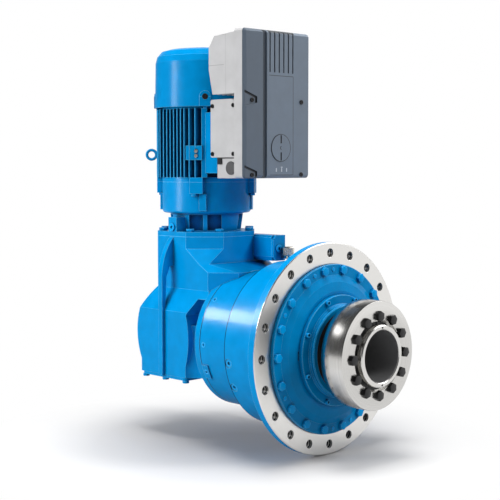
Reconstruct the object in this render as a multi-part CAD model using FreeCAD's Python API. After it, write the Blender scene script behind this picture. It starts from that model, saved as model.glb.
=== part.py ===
import FreeCAD, Part
import math
import os

from FreeCAD import Vector

# Planetary gear reducer with a bevel input stage, a vertical motor and an integrated drive.
# Millimetres. The origin is the centre of the mounting flange's front face.
# X is the output axis and points out of the hollow shaft, Z is up.

ORIGIN = Vector(0, 0, 0)
X = Vector(1, 0, 0)
Y = Vector(0, 1, 0)
Z = Vector(0, 0, 1)

# Clearances
RUNNING_FIT = 0.05
SHIELD_GAP = 0.3
SIDE_CLEARANCE = 1.0

# Mounting flange and output housing
FLANGE_RADIUS = 210.5
FLANGE_THICKNESS = 18.0
FLANGE_HOLE_INSET = 20.5
FLANGE_HOLE_CIRCLE = FLANGE_RADIUS - FLANGE_HOLE_INSET
FLANGE_HOLE_RADIUS = 8.75
FLANGE_HOLES = 20
FLANGE_CHAMFER = 1.5
FLANGE_ROOT_FILLET = 8.0
OUTPUT_HOUSING_RADIUS = 167.0
OUTPUT_HOUSING_LENGTH = 129.0
OUTPUT_HOUSING_CHAMFER = 2.0
PILOT_WALL = 17.0
PILOT_RADIUS = OUTPUT_HOUSING_RADIUS - PILOT_WALL
PILOT_DEPTH = 20.0

# Output cover
COVER_OVERHANG = 1.0
COVER_RADIUS = OUTPUT_HOUSING_RADIUS + COVER_OVERHANG
COVER_PLATE = 8.0
COVER_SEAT_DEPTH = 1.0
COVER_SEAT_GAP = 0.5
COVER_RELIEF_DEPTH = 4.0
COVER_RELIEF_FRONT = 0.5
COVER_BOLT_INSET = 10.5
COVER_BOLT_CIRCLE = COVER_RADIUS - COVER_BOLT_INSET
COVER_BOLTS = 18
COVER_BOLT_DEPTH = 26.0
COVER_PLUG_ANGLES = (0, 20, 60, 120, 180, 200)
COVER_PLUG_RADIUS = 4.5
COVER_PLUG_LENGTH = 7.5
CONE_INSET = 21.0
CONE_BASE_RADIUS = COVER_RADIUS - CONE_INSET
CONE_RIM_X = 19.0
CONE_RIM_WIDTH = 7.1
JACKING_SLOT_WIDTH = 18.0
JACKING_SLOT_HEIGHT = 3.0
JACKING_SLOT_DEPTH = 4.0
SEAL_COVER_RADIUS = 109.4
SEAL_COVER_THICKNESS = 9.0
SEAL_COVER_BOSS_RADIUS = 89.6
SEAL_COVER_BOSS_HEIGHT = 10.5
SEAL_SCREW_INSET = 5.4
SEAL_SCREW_CIRCLE = SEAL_COVER_RADIUS - SEAL_SCREW_INSET
SEAL_SCREW_DEPTH = 17.0
SEAL_SCREW_RADIUS = 3.0
SEAL_SCREWS = 8
SEAL_WIDTH = 12.0
SEAL_RADIAL_HEIGHT = 14.0

# Hollow output shaft and shrink disc
BORE_RADIUS = 50.0
BORE_DEPTH = 150.0
SHAFT_END_X = 133.0
SHAFT_END_RADIUS = 60.0
SHAFT_CENTRE_HOLE_RADIUS = 1.6
SHAFT_CENTRE_HOLE_CIRCLE = 55.0
SHAFT_SEAL_RADIUS = 65.0
SHAFT_BEARING_RADIUS = 70.0
SHRINK_SEAT_X = 70.0
SHRINK_REAR_X = 73.0
SHRINK_FRONT_X = 123.0
SHRINK_RADIUS = 105.0
SHRINK_RECESS_RADIUS = 68.5
SHRINK_RECESS_DEPTH = 6.0
SHRINK_REAR_ROUND = 18.0
SHRINK_INNER_RADIUS = 65.0
SHRINK_TAPER = 4.0
SHRINK_BOLT_CIRCLE = 76.0
SHRINK_BOLTS = 12
SHRINK_BOLT_DEPTH = 40.0
SHRINK_SPLIT_WIDTH = 3.0

# Main bearings of the output shaft
MAIN_BEARING_OUTER = 95.0
MAIN_BEARING_WIDTH = 33.0
MAIN_BEARING_X = -14.0
REAR_BEARING_INNER = 55.0
REAR_BEARING_OUTER = 80.0
REAR_BEARING_WIDTH = 18.0
MAIN_ROLLERS = 30
REAR_ROLLERS = 28
ROLLER_RATIO = 0.073
ROLLER_END_GAP = 4.0

# Gear teeth: sun, planet and ring of both planetary stages
SUN_TEETH = 15
PLANET_TEETH = 21
RING_TEETH = SUN_TEETH + 2 * PLANET_TEETH
PLANETS = 3
PRESSURE_ANGLE = math.radians(22.5)
ADDENDUM = 0.85
DEDENDUM = 1.15
BACKLASH = 0.35

# Second planetary stage
SECOND_RING_WALL = 4.0
SECOND_RING_OUTER = PILOT_RADIUS - SECOND_RING_WALL
SECOND_RING_DEPTH = 17.75
SECOND_MODULE = 2 * (SECOND_RING_OUTER - SECOND_RING_DEPTH) / RING_TEETH
SECOND_RING_REAR = -106.0
SECOND_PLANET_WIDTH = 54.0
SECOND_PLANET_REAR = -96.0
SECOND_CARRIER_INSET = 34.0
SECOND_CARRIER_RADIUS = SECOND_RING_OUTER - SECOND_CARRIER_INSET
SECOND_CARRIER_DISC = 18.0
SECOND_PIN_RADIUS = 18.0
SECOND_PIN_SINK = 4.0
SECOND_SUN_SHAFT_RADIUS = 22.0

# First planetary stage
FIRST_HOUSING_RADIUS = 142.0
FIRST_HOUSING_LENGTH = 97.0
FIRST_RING_WALL = 12.0
FIRST_RING_OUTER = FIRST_HOUSING_RADIUS - FIRST_RING_WALL
FIRST_RING_DEPTH = 16.0
FIRST_MODULE = 2 * (FIRST_RING_OUTER - FIRST_RING_DEPTH) / RING_TEETH
FIRST_SPIGOT_DEPTH = 8.0
FIRST_PILOT_DEPTH = 6.0
FIRST_WEB_REAR = -146.0
FIRST_PLANET_WIDTH = 36.0
FIRST_PLANET_REAR = -204.0
HOUSING_BOLT_INSET = 7.5
HOUSING_BOLT_CIRCLE = FIRST_HOUSING_RADIUS - HOUSING_BOLT_INSET
HOUSING_BOLT_RADIUS = 3.5
HOUSING_BOLT_SINK = 8.0
HOUSING_BOLT_REACH = 20.0
HOUSING_BOLT_ANGLES = (60, 80, 100, 120, 240, 260, 280, 300)
FIRST_CARRIER_INSET = 32.0
FIRST_CARRIER_RADIUS = FIRST_RING_OUTER - FIRST_CARRIER_INSET
FIRST_CARRIER_DISC = 14.0
FIRST_PIN_RADIUS = 13.0
FIRST_HUB_RADIUS = 42.0
FIRST_BEARING_OUTER = 62.0
FIRST_BEARING_WIDTH = 14.0

# Oil plugs in the round housings: angles from the top towards -Y
PLUG_X = -117.0
OIL_PLUG_RADIUS = 7.0
OIL_PLUG_LENGTH = 12.0
OIL_PLUG_ANGLES = (98.3, 116.1)
SPOT_FACE_RADIUS = 9.0
SPOT_FACE_DEPTH = 1.5
LEVEL_PLUG_X = -214.0
LEVEL_PLUG_RADIUS = 5.0
LEVEL_PLUG_LENGTH = 9.0
LEVEL_PLUG_ANGLES = (51.0, 90.0, 112.8)
LEVEL_PLUG_PROUD = 0.5
LEVEL_PAD_LENGTH = 16.0
LEVEL_PAD_WIDTH = 30.0
LEVEL_PAD_PROUD = 3.0

# Bevel stage
MOTOR_AXIS_X = -358.0
WHEEL_TEETH = 36
PINION_TEETH = 18
BEVEL_MODULE = 4.0
BEVEL_FACE = 24.0
BEVEL_ADDENDUM = 3.6
BEVEL_DEDENDUM = 4.8
BEVEL_BACKLASH = 0.5
INPUT_SHAFT_RADIUS = 20.0
INPUT_BEARING_OUTER = 40.0
INPUT_BEARING_WIDTH = 16.0
INPUT_SLEEVE_RADIUS = 54.0
PINION_SHAFT_RADIUS = 17.5
PINION_BEARING_OUTER = 40.0
PINION_BEARING_WIDTH = 20.0
PINION_BEARING_ZS = (92.0, 172.0)
PINION_SEAL_Z = 194.0
PINION_SEAL_HEIGHT = 8.0
PINION_STEM_Z = 60.0

# Bevel housing
BODY_HALF_WIDTH = 126.0
BODY_HALF_LENGTH = 71.0
BODY_BARREL_BULGE = 14.0
BODY_BARREL_Z = 8.0
BODY_BARREL_LOW_Z = -53.0
BODY_FRONT_BULGE = 9.0
BODY_FRONT_LOW_Z = -58.0
BODY_BOTTOM_Z = -86.0
BODY_SHOULDER_Z = 57.0
BODY_ROOF_Z = 103.0
BODY_ROOF_REAR_X = -403.0
BODY_ROOF_FRONT_X = -272.0
BODY_WALL = 14.0
BODY_FLANGE_LENGTH = 14.0
NECK_HALF = 101.0
NECK_CHAMFER = 15.0
HEAD_CHAMFER = 56.0
NECK_LEDGE_Z = 157.0
NECK_FOOT_Z = -13.0
NOSE_REACH = 158.0
NOSE_CHAMFER = 45.0
NOSE_TOP_Z = 141.0
NOSE_GAP = 0.4
HEAD_TAPER_Z = 187.0
HEAD_TOP_Z = 212.0
BRIDGE_HALF_WIDTH = BODY_HALF_WIDTH - 28.0
BRIDGE_POCKET_Z = 30.0
POCKET_ROOF_Z = 86.0
POCKET_ROOF_X = -264.0
POCKET_INNER_Y = 71.0
RIB_THICKNESS = 12.0
RIB_OUTER_Y = BODY_HALF_WIDTH + 7.0
RIB_APEX_Z = 211.0
RIB_CURVE_Z = 156.0
RIB_WINDOW_TOP_Z = 149.0
RIB_WINDOW_WALL = 9.0
BOTTOM_PLATE = 6.0
BOTTOM_PLATE_CORNER = 8.0
BOTTOM_BOLT_DEPTH = 14.0

# Auxiliary block beside the neck, with its end plate and breather
BLOCK_Y = 42.0
BLOCK_WIDTH = 36.0
BLOCK_BOTTOM_Z = 160.0
BLOCK_HEIGHT = 54.0
BLOCK_FRONT_X = -203.0
BLOCK_CHAMFER = 9.0
ADAPTER_GAP = 0.5
END_PLATE = 6.0
END_PLUG_Y = 57.0
END_PLUG_Z = 186.0
BREATHER_X = -180.0
BREATHER_Y = 70.0
BREATHER_ELBOW_Z = 164.0
BREATHER_STEM_RADIUS = 4.8
BREATHER_CAP_Z = 169.0
BREATHER_RADIUS = 12.5
BREATHER_HEIGHT = 21.0

# Motor adapter
ADAPTER_FLANGE = 10.0
ADAPTER_BOLT_PLACES = ((87.0, 43.5), (43.5, 87.0), (-43.5, 87.0), (-87.0, 43.5))
ADAPTER_BOLT_DEPTH = 34.0
ADAPTER_NECK_LOWER = 74.0
ADAPTER_NECK_UPPER = 79.0
BELL_BOTTOM_Z = 260.0
BELL_RADIUS = 95.5
BELL_WALL = 10.0
BELL_TOP_Z = 326.0
LUG_ANGLE = -54.5
LUG_WIDTH = 28.0
LUG_REACH = 107.0
LUG_HEIGHT = 24.0
LUG_BOLT_REACH = 100.0
LUG_BOLT_OFFSET = -5.0
LIFTING_LUG_HEIGHT = 30.0
LIFTING_LUG_REAR = -10.0
LIFTING_LUG_FRONT = 16.0
LIFTING_HOLE_RADIUS = 6.0
LIFTING_HOLE_Z = 231.0
LIFTING_HOLE_DEPTH = 14.0
COUPLING_RADIUS = 32.0
COUPLING_BOTTOM_Z = 270.0
COUPLING_HUB = 18.0
SPIDER_HEIGHT = 10.0

# Motor
SHIELD_TOP_Z = 336.0
FRAME_TOP_Z = 479.0
FRAME_TUBE_RADIUS = 84.0
FRAME_BORE_RADIUS = 74.0
FIN_COUNT = 12
FIN_PITCH = 11.0
FIN_THICKNESS = 3.0
FIN_ENVELOPE = 107.0
FIN_FLAT = 99.0
COLUMN_WIDTH = 12.0
EARTH_PAD_BOTTOM_Z = 372.0
EARTH_PAD_TOP_Z = 402.0
PEDESTAL_HALF_WIDTH = 74.0
PEDESTAL_BOTTOM_Z = 345.0
PEDESTAL_TOP_Z = 470.0
PEDESTAL_FOOT_HALF_WIDTH = 64.0
PEDESTAL_FOOT_TOP_Z = 372.0
STATOR_BORE_RADIUS = 46.0
STATOR_BOTTOM_Z = 366.0
STATOR_LENGTH = 80.0
WINDING_HEIGHT = 16.0
ROTOR_GAP = 0.6
MOTOR_SHAFT_RADIUS = 15.0
MOTOR_BEARING_OUTER = 31.0
MOTOR_BEARING_WIDTH = 16.0
FAN_RADIUS = 86.0
FAN_BLADES = 8
FAN_BOTTOM_Z = 508.0
FAN_HEIGHT = 38.0
FAN_COVER_BOTTOM_Z = 483.0
FAN_COVER_SHOULDER_Z = 578.0
FAN_COVER_TOP_Z = 611.0
FAN_COVER_RADIUS = 110.7
FAN_COVER_SHOULDER_RADIUS = 109.0
FAN_COVER_WALL = 2.5
FAN_SLOTS = 18
FAN_SLOT_INNER = 30.0
FAN_SLOT_OUTER = 74.0
FAN_SLOT_WIDTH = 6.0
FAN_SCREW_Z = 503.0
FAN_SCREW_ANGLE = -44
FAN_PAD_RADIUS = 12.0

# Terminal box and drive
DRIVE_HALF_WIDTH = 96.0
DRIVE_FRONT_X = -143.0
DRIVE_BEVEL = 6.0
DRIVE_CORNER = 7.0
DRIVE_BOTTOM_Z = 335.0
DRIVE_TOP_Z = 632.0
DRIVE_SIDE_REAR_X = -172.0
DRIVE_WALL = 4.0
HEATSINK_REAR_X = -246.0
HEATSINK_BOTTOM_Z = 504.0
HEATSINK_TOP_Z = 626.0
HEATSINK_FINS = 15
HEATSINK_FIN = 3.0
TERMINAL_REAR_X = -245.0
TERMINAL_BOTTOM_Z = 377.0
TERMINAL_TOP_Z = 494.0
TERMINAL_PLATE = 3.0
TERMINAL_HALF_WIDTH = DRIVE_HALF_WIDTH - 4.0
TERMINAL_CORNER = 4.0
TERMINAL_TOP_CORNER = 15.0
DRIVE_GAP = 0.5
ENTRY_REAR_X = -228.0
ENTRY_PLUG_X = -188.0
ENTRY_PLUG_Z = 355.5
ENTRY_PLUG_RADIUS = 13.5
CAP_Y = 8.0
CAP_Z = 396.5
CAP_RADIUS = 28.0
CAP_DEPTH = 5.0
CAP_PROUD = 1.2
GROOVE_Y = -37.5
GROOVE_WIDTH = 11.5
GROOVE_DEPTH = 4.0
VENT_CENTRE_Y = 10.0
VENT_PITCH = 13.3
VENT_WIDTH = 3.0
VENT_BOTTOM_Z = 548.5
VENT_DEPTH = 3.0
DRIVE_SCREW_ZS = (491.0, 342.0)
DRIVE_SCREW_YS = (-72.0, 68.0)
DRIVE_SCREW_RADIUS = 4.5
SCREW_POCKET_DEPTH = 3.0
VENTS = 6
BOARD_STANDOFF = 4.0
BOARD_THICKNESS = 1.6
BOARD_CHIPS = ((4.0, -30.0, 50.0, 421.0, 40.0), (5.0, -50.0, 30.0, 536.0, 50.0))

# Hexagon bolts: shank radius, width across flats, head height
M8 = (4.0, 13.0, 5.3)
M10 = (5.0, 16.0, 6.4)
M12 = (6.0, 18.0, 7.5)

# Screwed plugs with a collar
COLLAR_RADIUS = 8.5
COLLAR_HEIGHT = 3.5

CIRCUMSCRIBED = 2 / math.sqrt(3)
SCREW_HEAD_RATIO = 1.6


def rod(radius, start, length, axis=X):
    return Part.makeCylinder(radius, length, start, axis)


def ring(outer, inner, start, length, axis=X):
    return rod(outer, start, length, axis).cut(rod(inner, start - axis, length + 2, axis))


def turned(outline, axis=X, origin=ORIGIN):
    """A solid of revolution from (place along the axis, radius) points."""
    side = X if axis is Z else Z
    points = [origin + axis * place + side * radius for place, radius in outline]
    return Part.Face(Part.makePolygon(points + points[:1])).revolve(origin, axis, 360)


def prism(points, depth):
    return Part.Face(Part.makePolygon(points + points[:1])).extrude(depth)


def box(x0, x1, y0, y1, z0, z1):
    return Part.makeBox(x1 - x0, y1 - y0, z1 - z0, Vector(x0, y0, z0))


def rounded_box(x0, x1, y0, y1, z0, z1, radius):
    body = box(x0, x1, y0, y1, z0, z1)
    edges = [edge for edge in body.Edges if abs(edge.tangentAt(edge.FirstParameter).x) > 0.9]
    return body.makeFillet(radius, edges)


def fused(shapes):
    shapes = list(shapes)
    return shapes[0].multiFuse(shapes[1:]).removeSplitter()


def group(shapes):
    return Part.makeCompound(list(shapes))


def turn(shape, angle, axis=X, centre=ORIGIN):
    copy = shape.copy()
    copy.rotate(centre, axis, angle)
    return copy


def around(shape, angles, axis=X, centre=ORIGIN):
    return [turn(shape, angle, axis, centre) for angle in angles]


def spaced(count, first=0.0):
    return [first + 360.0 * index / count for index in range(count)]


def top_point(x, radius, angle=0.0):
    """A point at this radius from the X axis, turned from the top towards -Y."""
    turned_by = math.radians(angle)
    return Vector(x, -radius * math.sin(turned_by), radius * math.cos(turned_by))


def hexagon(across_flats, centre, axis, height):
    radius = across_flats / 2 * CIRCUMSCRIBED
    side = Y if abs(axis.z) > 0.9 else Z
    cross = axis.cross(side)
    corners = [
        centre + side * radius * math.cos(math.radians(angle))
        + cross * radius * math.sin(math.radians(angle))
        for angle in spaced(6)
    ]
    return prism(corners, axis * height)


def hex_bolt(size, seat, axis, length):
    """A bolt whose head sits on seat and whose shank runs back along the axis."""
    shank_radius, across_flats, head = size
    shank = rod(shank_radius, seat - axis * length, length, axis)
    return shank.fuse(hexagon(across_flats, seat, axis, head))


def socket_screw(radius, seat, axis, length):
    """A cap screw with a hexagon socket in its head."""
    head_radius = SCREW_HEAD_RATIO * radius
    head_height = 1.8 * radius
    head = rod(head_radius, seat, head_height, axis)
    shank = rod(radius, seat - axis * length, length, axis)
    socket = hexagon(1.7 * radius, seat + axis * head_height * 0.4, axis, head_height)
    return shank.fuse(head).cut(socket)


def octagon(half, front_chamfer, rear_chamfer, z, rear=None, reach=None):
    """Corner points of a square with cut corners round the motor axis, at one height."""
    front = half - front_chamfer
    back = half - rear_chamfer
    rear = half if rear is None else rear
    reach = half if reach is None else reach
    corner = reach - front_chamfer
    outline = [(reach, -front), (reach, front), (corner, half), (-min(back, rear), half),
               (-rear, back), (-rear, -back), (-min(back, rear), -half), (corner, -half)]
    return [Vector(MOTOR_AXIS_X + across, along, z) for across, along in outline]


def ruled(sections):
    wires = [Part.makePolygon(points + points[:1]) for points in sections]
    return Part.makeLoft(wires, True, True)


# Involute gears

def involute(angle):
    return math.tan(angle) - angle


def flank_angle(radius, pitch_radius, half_angle):
    """Half the angle of an involute tooth at a radius, from its half angle at the pitch."""
    base = pitch_radius * math.cos(PRESSURE_ANGLE)
    pressure = math.acos(min(1.0, base / radius))
    return half_angle + involute(PRESSURE_ANGLE) - involute(pressure)


def toothed_wire(teeth, module, root, radii, x, phase, extra):
    """A closed outline of teeth, or of the tooth spaces of a ring gear."""
    pitch_radius = teeth * module / 2
    half_angle = math.pi / (2 * teeth) + extra / (2 * pitch_radius)
    flank = [(radius, flank_angle(radius, pitch_radius, half_angle)) for radius in radii]
    flank = [(root, flank[0][1])] + flank
    points = []
    for index in range(teeth):
        middle = 2 * math.pi * index / teeth + phase
        for radius, half in flank:
            points.append(top_point(x, radius, math.degrees(middle - half)))
        for radius, half in reversed(flank):
            points.append(top_point(x, radius, math.degrees(middle + half)))
    return Part.makePolygon(points + points[:1])


def gear(teeth, module, bore, x, width, phase=0.0):
    pitch_radius = teeth * module / 2
    base = pitch_radius * math.cos(PRESSURE_ANGLE)
    tip = pitch_radius + ADDENDUM * module
    low = max(base, pitch_radius - ADDENDUM * module)
    radii = [low, (low + pitch_radius) / 2, pitch_radius + 0.3 * module, tip]
    root = pitch_radius - DEDENDUM * module
    teeth_wire = toothed_wire(teeth, module, root, radii, x, phase, -BACKLASH / 2)
    blank = Part.Face(teeth_wire).extrude(X * width)
    return blank.cut(rod(bore, Vector(x - 1, 0, 0), width + 2)) if bore else blank


def ring_gear(module, outer, x, width, phase=0.0):
    pitch_radius = RING_TEETH * module / 2
    tip = pitch_radius - ADDENDUM * module
    root = pitch_radius + DEDENDUM * module
    radii = [tip, pitch_radius, root]
    spaces = toothed_wire(RING_TEETH, module, tip, radii, x, phase, BACKLASH / 2)
    body = rod(outer, Vector(x, 0, 0), width)
    return body.cut(Part.Face(spaces).extrude(X * width))


def planet_places(module):
    distance = (SUN_TEETH + PLANET_TEETH) * module / 2
    return [(angle, top_point(0, distance, angle)) for angle in spaced(PLANETS)]


def planet_gear(module, bore, x, width, angle, centre):
    """A planet in mesh with a sun whose space, and a ring whose tooth, face the top."""
    turned_by = math.radians(angle)
    phase = turned_by * (1 + SUN_TEETH / PLANET_TEETH) + math.pi * (1 - 1 / PLANET_TEETH)
    shape = gear(PLANET_TEETH, module, bore, x, width, phase)
    shape.translate(centre)
    return shape


def bevel_gear(teeth, cone_teeth, bore, back_thickness, phase, extra):
    """A straight bevel gear on X with its apex at the origin and its back away from it."""
    pitch = teeth * BEVEL_MODULE / 2
    depth = cone_teeth * BEVEL_MODULE / 2
    length = math.hypot(pitch, depth)
    toe = 1 - BEVEL_FACE / length
    cone = math.atan2(pitch, depth)
    half_pitch = math.pi * BEVEL_MODULE / 4 - extra / 2
    slope = math.tan(PRESSURE_ANGLE)

    def section(scale):
        corners = []
        for height, sink in ((-BEVEL_DEDENDUM - 1, 1), (BEVEL_ADDENDUM, 0)):
            radius = pitch + height * math.cos(cone)
            place = depth - height * math.sin(cone)
            width = half_pitch - (height + sink) * slope
            corners.append((place, radius, width))
        (low, root, wide), (high, tip, narrow) = corners
        outline = [(low, root, -wide), (high, tip, -narrow), (high, tip, narrow), (low, root, wide)]
        return [Vector(place, across, radius) * scale for place, radius, across in outline]

    tooth = ruled([section(toe), section(1.0)])
    back_radius = pitch - BEVEL_DEDENDUM * math.cos(cone)
    back_place = depth + BEVEL_DEDENDUM * math.sin(cone)
    blank = turned([(back_place * toe, bore), (back_place * toe, back_radius * toe),
                    (back_place, back_radius), (back_place + back_thickness, back_radius - 4),
                    (back_place + back_thickness, bore)])
    teeth_solids = around(tooth, spaced(teeth, math.degrees(phase)))
    return fused([blank] + teeth_solids)


# Bearings

def bearing(inner, outer, start, width, axis=X):
    """Inner ring and shielded outer ring of one bearing, with the shield gap between them."""
    shoulder = inner + 0.3 * (outer - inner)
    inner_ring = ring(shoulder, inner, start, width, axis)
    outer_ring = ring(outer, shoulder + SHIELD_GAP, start, width, axis)
    return inner_ring, outer_ring


def roller_bearing(inner, outer, x, width, count):
    """Inner ring, outer ring and one circle of rollers in their cage."""
    middle = (inner + outer) / 2
    roller = ROLLER_RATIO * middle
    inner_ring = ring(middle - roller - RUNNING_FIT, inner, Vector(x, 0, 0), width)
    outer_ring = ring(outer, middle + roller + RUNNING_FIT, Vector(x, 0, 0), width)
    start = x + ROLLER_END_GAP
    length = width - 2 * ROLLER_END_GAP
    rollers = around(rod(roller, top_point(start, middle), length), spaced(count))
    cage = ring(middle + roller / 3, middle - roller / 3, Vector(start, 0, 0), length)
    return inner_ring, outer_ring, fused([cage] + rollers)


parts = {}


def cut_by(names, tool):
    for name in names:
        parts[name] = parts[name].cut(tool)


# Places that follow from the sizes

MOTOR_AXIS = Vector(MOTOR_AXIS_X, 0, 0)
OUTPUT_HOUSING_REAR = -OUTPUT_HOUSING_LENGTH
FIRST_HOUSING_REAR = OUTPUT_HOUSING_REAR - FIRST_HOUSING_LENGTH
BODY_FLANGE_REAR = FIRST_HOUSING_REAR - BODY_FLANGE_LENGTH
CONE_TIP_X = CONE_RIM_X + SEAL_COVER_THICKNESS + SEAL_COVER_BOSS_HEIGHT
SECOND_DISC_FRONT = SECOND_PLANET_REAR + SECOND_PLANET_WIDTH + SIDE_CLEARANCE
SECOND_DISC_REAR = SECOND_PLANET_REAR - SIDE_CLEARANCE - SECOND_CARRIER_DISC
REAR_BEARING_X = SECOND_DISC_REAR - SIDE_CLEARANCE - REAR_BEARING_WIDTH
FIRST_DISC_FRONT = FIRST_PLANET_REAR + FIRST_PLANET_WIDTH + SIDE_CLEARANCE
FIRST_DISC_REAR = FIRST_PLANET_REAR - SIDE_CLEARANCE - FIRST_CARRIER_DISC
FIRST_BEARING_X = FIRST_DISC_REAR - SIDE_CLEARANCE - FIRST_BEARING_WIDTH
SUN_TIP = SUN_TEETH / 2 + ADDENDUM
SECOND_SUN_CLEAR = SUN_TIP * SECOND_MODULE + 2
FIRST_SUN_CLEAR = SUN_TIP * FIRST_MODULE + 1.6
INPUT_BEARING_XS = (BODY_FLANGE_REAR - 4 - INPUT_BEARING_WIDTH, -302.0)
WHEEL_DEPTH = PINION_TEETH * BEVEL_MODULE / 2
SHAFT_SHOULDER_RADIUS = SHAFT_BEARING_RADIUS + 6
HEAD_FACE_Z = HEAD_TOP_Z + ADAPTER_FLANGE


# Output housing, cover and seal

def output_housing():
    seat_radius = COVER_RADIUS + COVER_SEAT_GAP
    outline = [(OUTPUT_HOUSING_REAR, FIRST_RING_OUTER),
               (OUTPUT_HOUSING_REAR, OUTPUT_HOUSING_RADIUS - OUTPUT_HOUSING_CHAMFER),
               (OUTPUT_HOUSING_REAR + OUTPUT_HOUSING_CHAMFER, OUTPUT_HOUSING_RADIUS),
               (-FLANGE_THICKNESS - FLANGE_ROOT_FILLET, OUTPUT_HOUSING_RADIUS),
               (-FLANGE_THICKNESS, OUTPUT_HOUSING_RADIUS + FLANGE_ROOT_FILLET),
               (-FLANGE_THICKNESS, FLANGE_RADIUS - FLANGE_CHAMFER),
               (-FLANGE_THICKNESS + FLANGE_CHAMFER, FLANGE_RADIUS),
               (-FLANGE_CHAMFER, FLANGE_RADIUS),
               (0, FLANGE_RADIUS - FLANGE_CHAMFER),
               (0, seat_radius),
               (-COVER_SEAT_DEPTH, seat_radius),
               (-COVER_SEAT_DEPTH, PILOT_RADIUS),
               (-PILOT_DEPTH, PILOT_RADIUS),
               (-PILOT_DEPTH, SECOND_RING_OUTER),
               (SECOND_RING_REAR, SECOND_RING_OUTER),
               (SECOND_RING_REAR, FIRST_RING_OUTER)]
    body = turned(outline)
    hole = rod(FLANGE_HOLE_RADIUS, top_point(-FLANGE_THICKNESS - 1, FLANGE_HOLE_CIRCLE),
               FLANGE_THICKNESS + 2)
    return body.cut(group(around(hole, spaced(FLANGE_HOLES))))


def output_cover():
    rim_radius = SEAL_COVER_RADIUS + CONE_RIM_WIDTH
    outline = [(-PILOT_DEPTH, PILOT_RADIUS), (-COVER_SEAT_DEPTH, PILOT_RADIUS),
               (-COVER_SEAT_DEPTH, COVER_RADIUS - COVER_RELIEF_DEPTH),
               (COVER_RELIEF_FRONT, COVER_RADIUS - COVER_RELIEF_DEPTH),
               (COVER_RELIEF_FRONT, COVER_RADIUS),
               (COVER_PLATE - 1, COVER_RADIUS), (COVER_PLATE, COVER_RADIUS - 1),
               (COVER_PLATE, CONE_BASE_RADIUS),
               (COVER_PLATE + 0.62 * (CONE_RIM_X - COVER_PLATE),
                (CONE_BASE_RADIUS + rim_radius) / 2 + 2),
               (CONE_RIM_X, rim_radius),
               (CONE_RIM_X, MAIN_BEARING_OUTER), (MAIN_BEARING_X, MAIN_BEARING_OUTER),
               (MAIN_BEARING_X, MAIN_BEARING_OUTER - 7), (-PILOT_DEPTH, MAIN_BEARING_OUTER - 7)]
    body = turned(outline)
    slot = box(CONE_RIM_X - JACKING_SLOT_DEPTH, CONE_RIM_X + 1, -JACKING_SLOT_WIDTH / 2,
               JACKING_SLOT_WIDTH / 2, SEAL_COVER_RADIUS, SEAL_COVER_RADIUS + JACKING_SLOT_HEIGHT)
    return body.cut(group(around(slot, (90, 270))))


def seal_cover():
    face = CONE_RIM_X + SEAL_COVER_THICKNESS
    seal_radius = SHAFT_SEAL_RADIUS + SEAL_RADIAL_HEIGHT
    outline = [(CONE_RIM_X, SEAL_COVER_RADIUS), (face - 1, SEAL_COVER_RADIUS),
               (face, SEAL_COVER_RADIUS - 1), (face, SEAL_COVER_BOSS_RADIUS + 3),
               (face + 3, SEAL_COVER_BOSS_RADIUS), (CONE_TIP_X - 2, SEAL_COVER_BOSS_RADIUS),
               (CONE_TIP_X, SEAL_COVER_BOSS_RADIUS - 2), (CONE_TIP_X, seal_radius),
               (CONE_TIP_X - SEAL_WIDTH, seal_radius),
               (CONE_TIP_X - SEAL_WIDTH, SHAFT_BEARING_RADIUS + 3),
               (CONE_RIM_X, SHAFT_BEARING_RADIUS + 3)]
    return turned(outline)


def shaft_seal():
    outer = SHAFT_SEAL_RADIUS + SEAL_RADIAL_HEIGHT
    lip = SHAFT_SEAL_RADIUS + RUNNING_FIT
    front = CONE_TIP_X
    rear = CONE_TIP_X - SEAL_WIDTH
    return turned([(rear, outer), (front, outer), (front, outer - 3), (front - 5, outer - 4),
                   (front - 2, lip + 2), (front - 4, lip), (front - 6, lip + 2), (rear, lip + 3)])


def output_shaft():
    """Hollow shaft in one piece with the second planet carrier."""
    bore_end = SHAFT_END_X - BORE_DEPTH
    seat_end = CONE_RIM_X + 6
    hub_rear = REAR_BEARING_X - 1
    shaft = turned([
        (SECOND_DISC_FRONT, 0), (SECOND_DISC_FRONT, SECOND_CARRIER_RADIUS),
        (SECOND_DISC_FRONT + SECOND_CARRIER_DISC, SECOND_CARRIER_RADIUS),
        (SECOND_DISC_FRONT + SECOND_CARRIER_DISC, SHAFT_SHOULDER_RADIUS),
        (MAIN_BEARING_X, SHAFT_SHOULDER_RADIUS), (MAIN_BEARING_X, SHAFT_BEARING_RADIUS),
        (seat_end, SHAFT_BEARING_RADIUS), (seat_end, SHAFT_SEAL_RADIUS),
        (SHRINK_SEAT_X - 6, SHAFT_SEAL_RADIUS), (SHRINK_SEAT_X, SHAFT_END_RADIUS),
        (SHAFT_END_X - 2, SHAFT_END_RADIUS), (SHAFT_END_X, SHAFT_END_RADIUS - 2),
        (SHAFT_END_X, BORE_RADIUS + 2), (SHAFT_END_X - 2, BORE_RADIUS),
        (bore_end, BORE_RADIUS), (bore_end, 0)])
    rear_disc = ring(SECOND_CARRIER_RADIUS, SECOND_SUN_CLEAR, Vector(SECOND_DISC_REAR, 0, 0),
                     SECOND_CARRIER_DISC)
    hub = ring(REAR_BEARING_INNER, SECOND_SUN_CLEAR, Vector(hub_rear, 0, 0),
               SECOND_DISC_REAR - hub_rear)
    shape = fused([shaft, rear_disc, hub] + carrier_webs(
        SECOND_MODULE, SECOND_CARRIER_RADIUS, SECOND_DISC_REAR + SECOND_CARRIER_DISC,
        SECOND_DISC_FRONT))
    centre_hole = rod(SHAFT_CENTRE_HOLE_RADIUS, top_point(SHAFT_END_X - 4, SHAFT_CENTRE_HOLE_CIRCLE), 5)
    return shape.cut(group([second_pins()] + around(centre_hole, (0, 180))))


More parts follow.
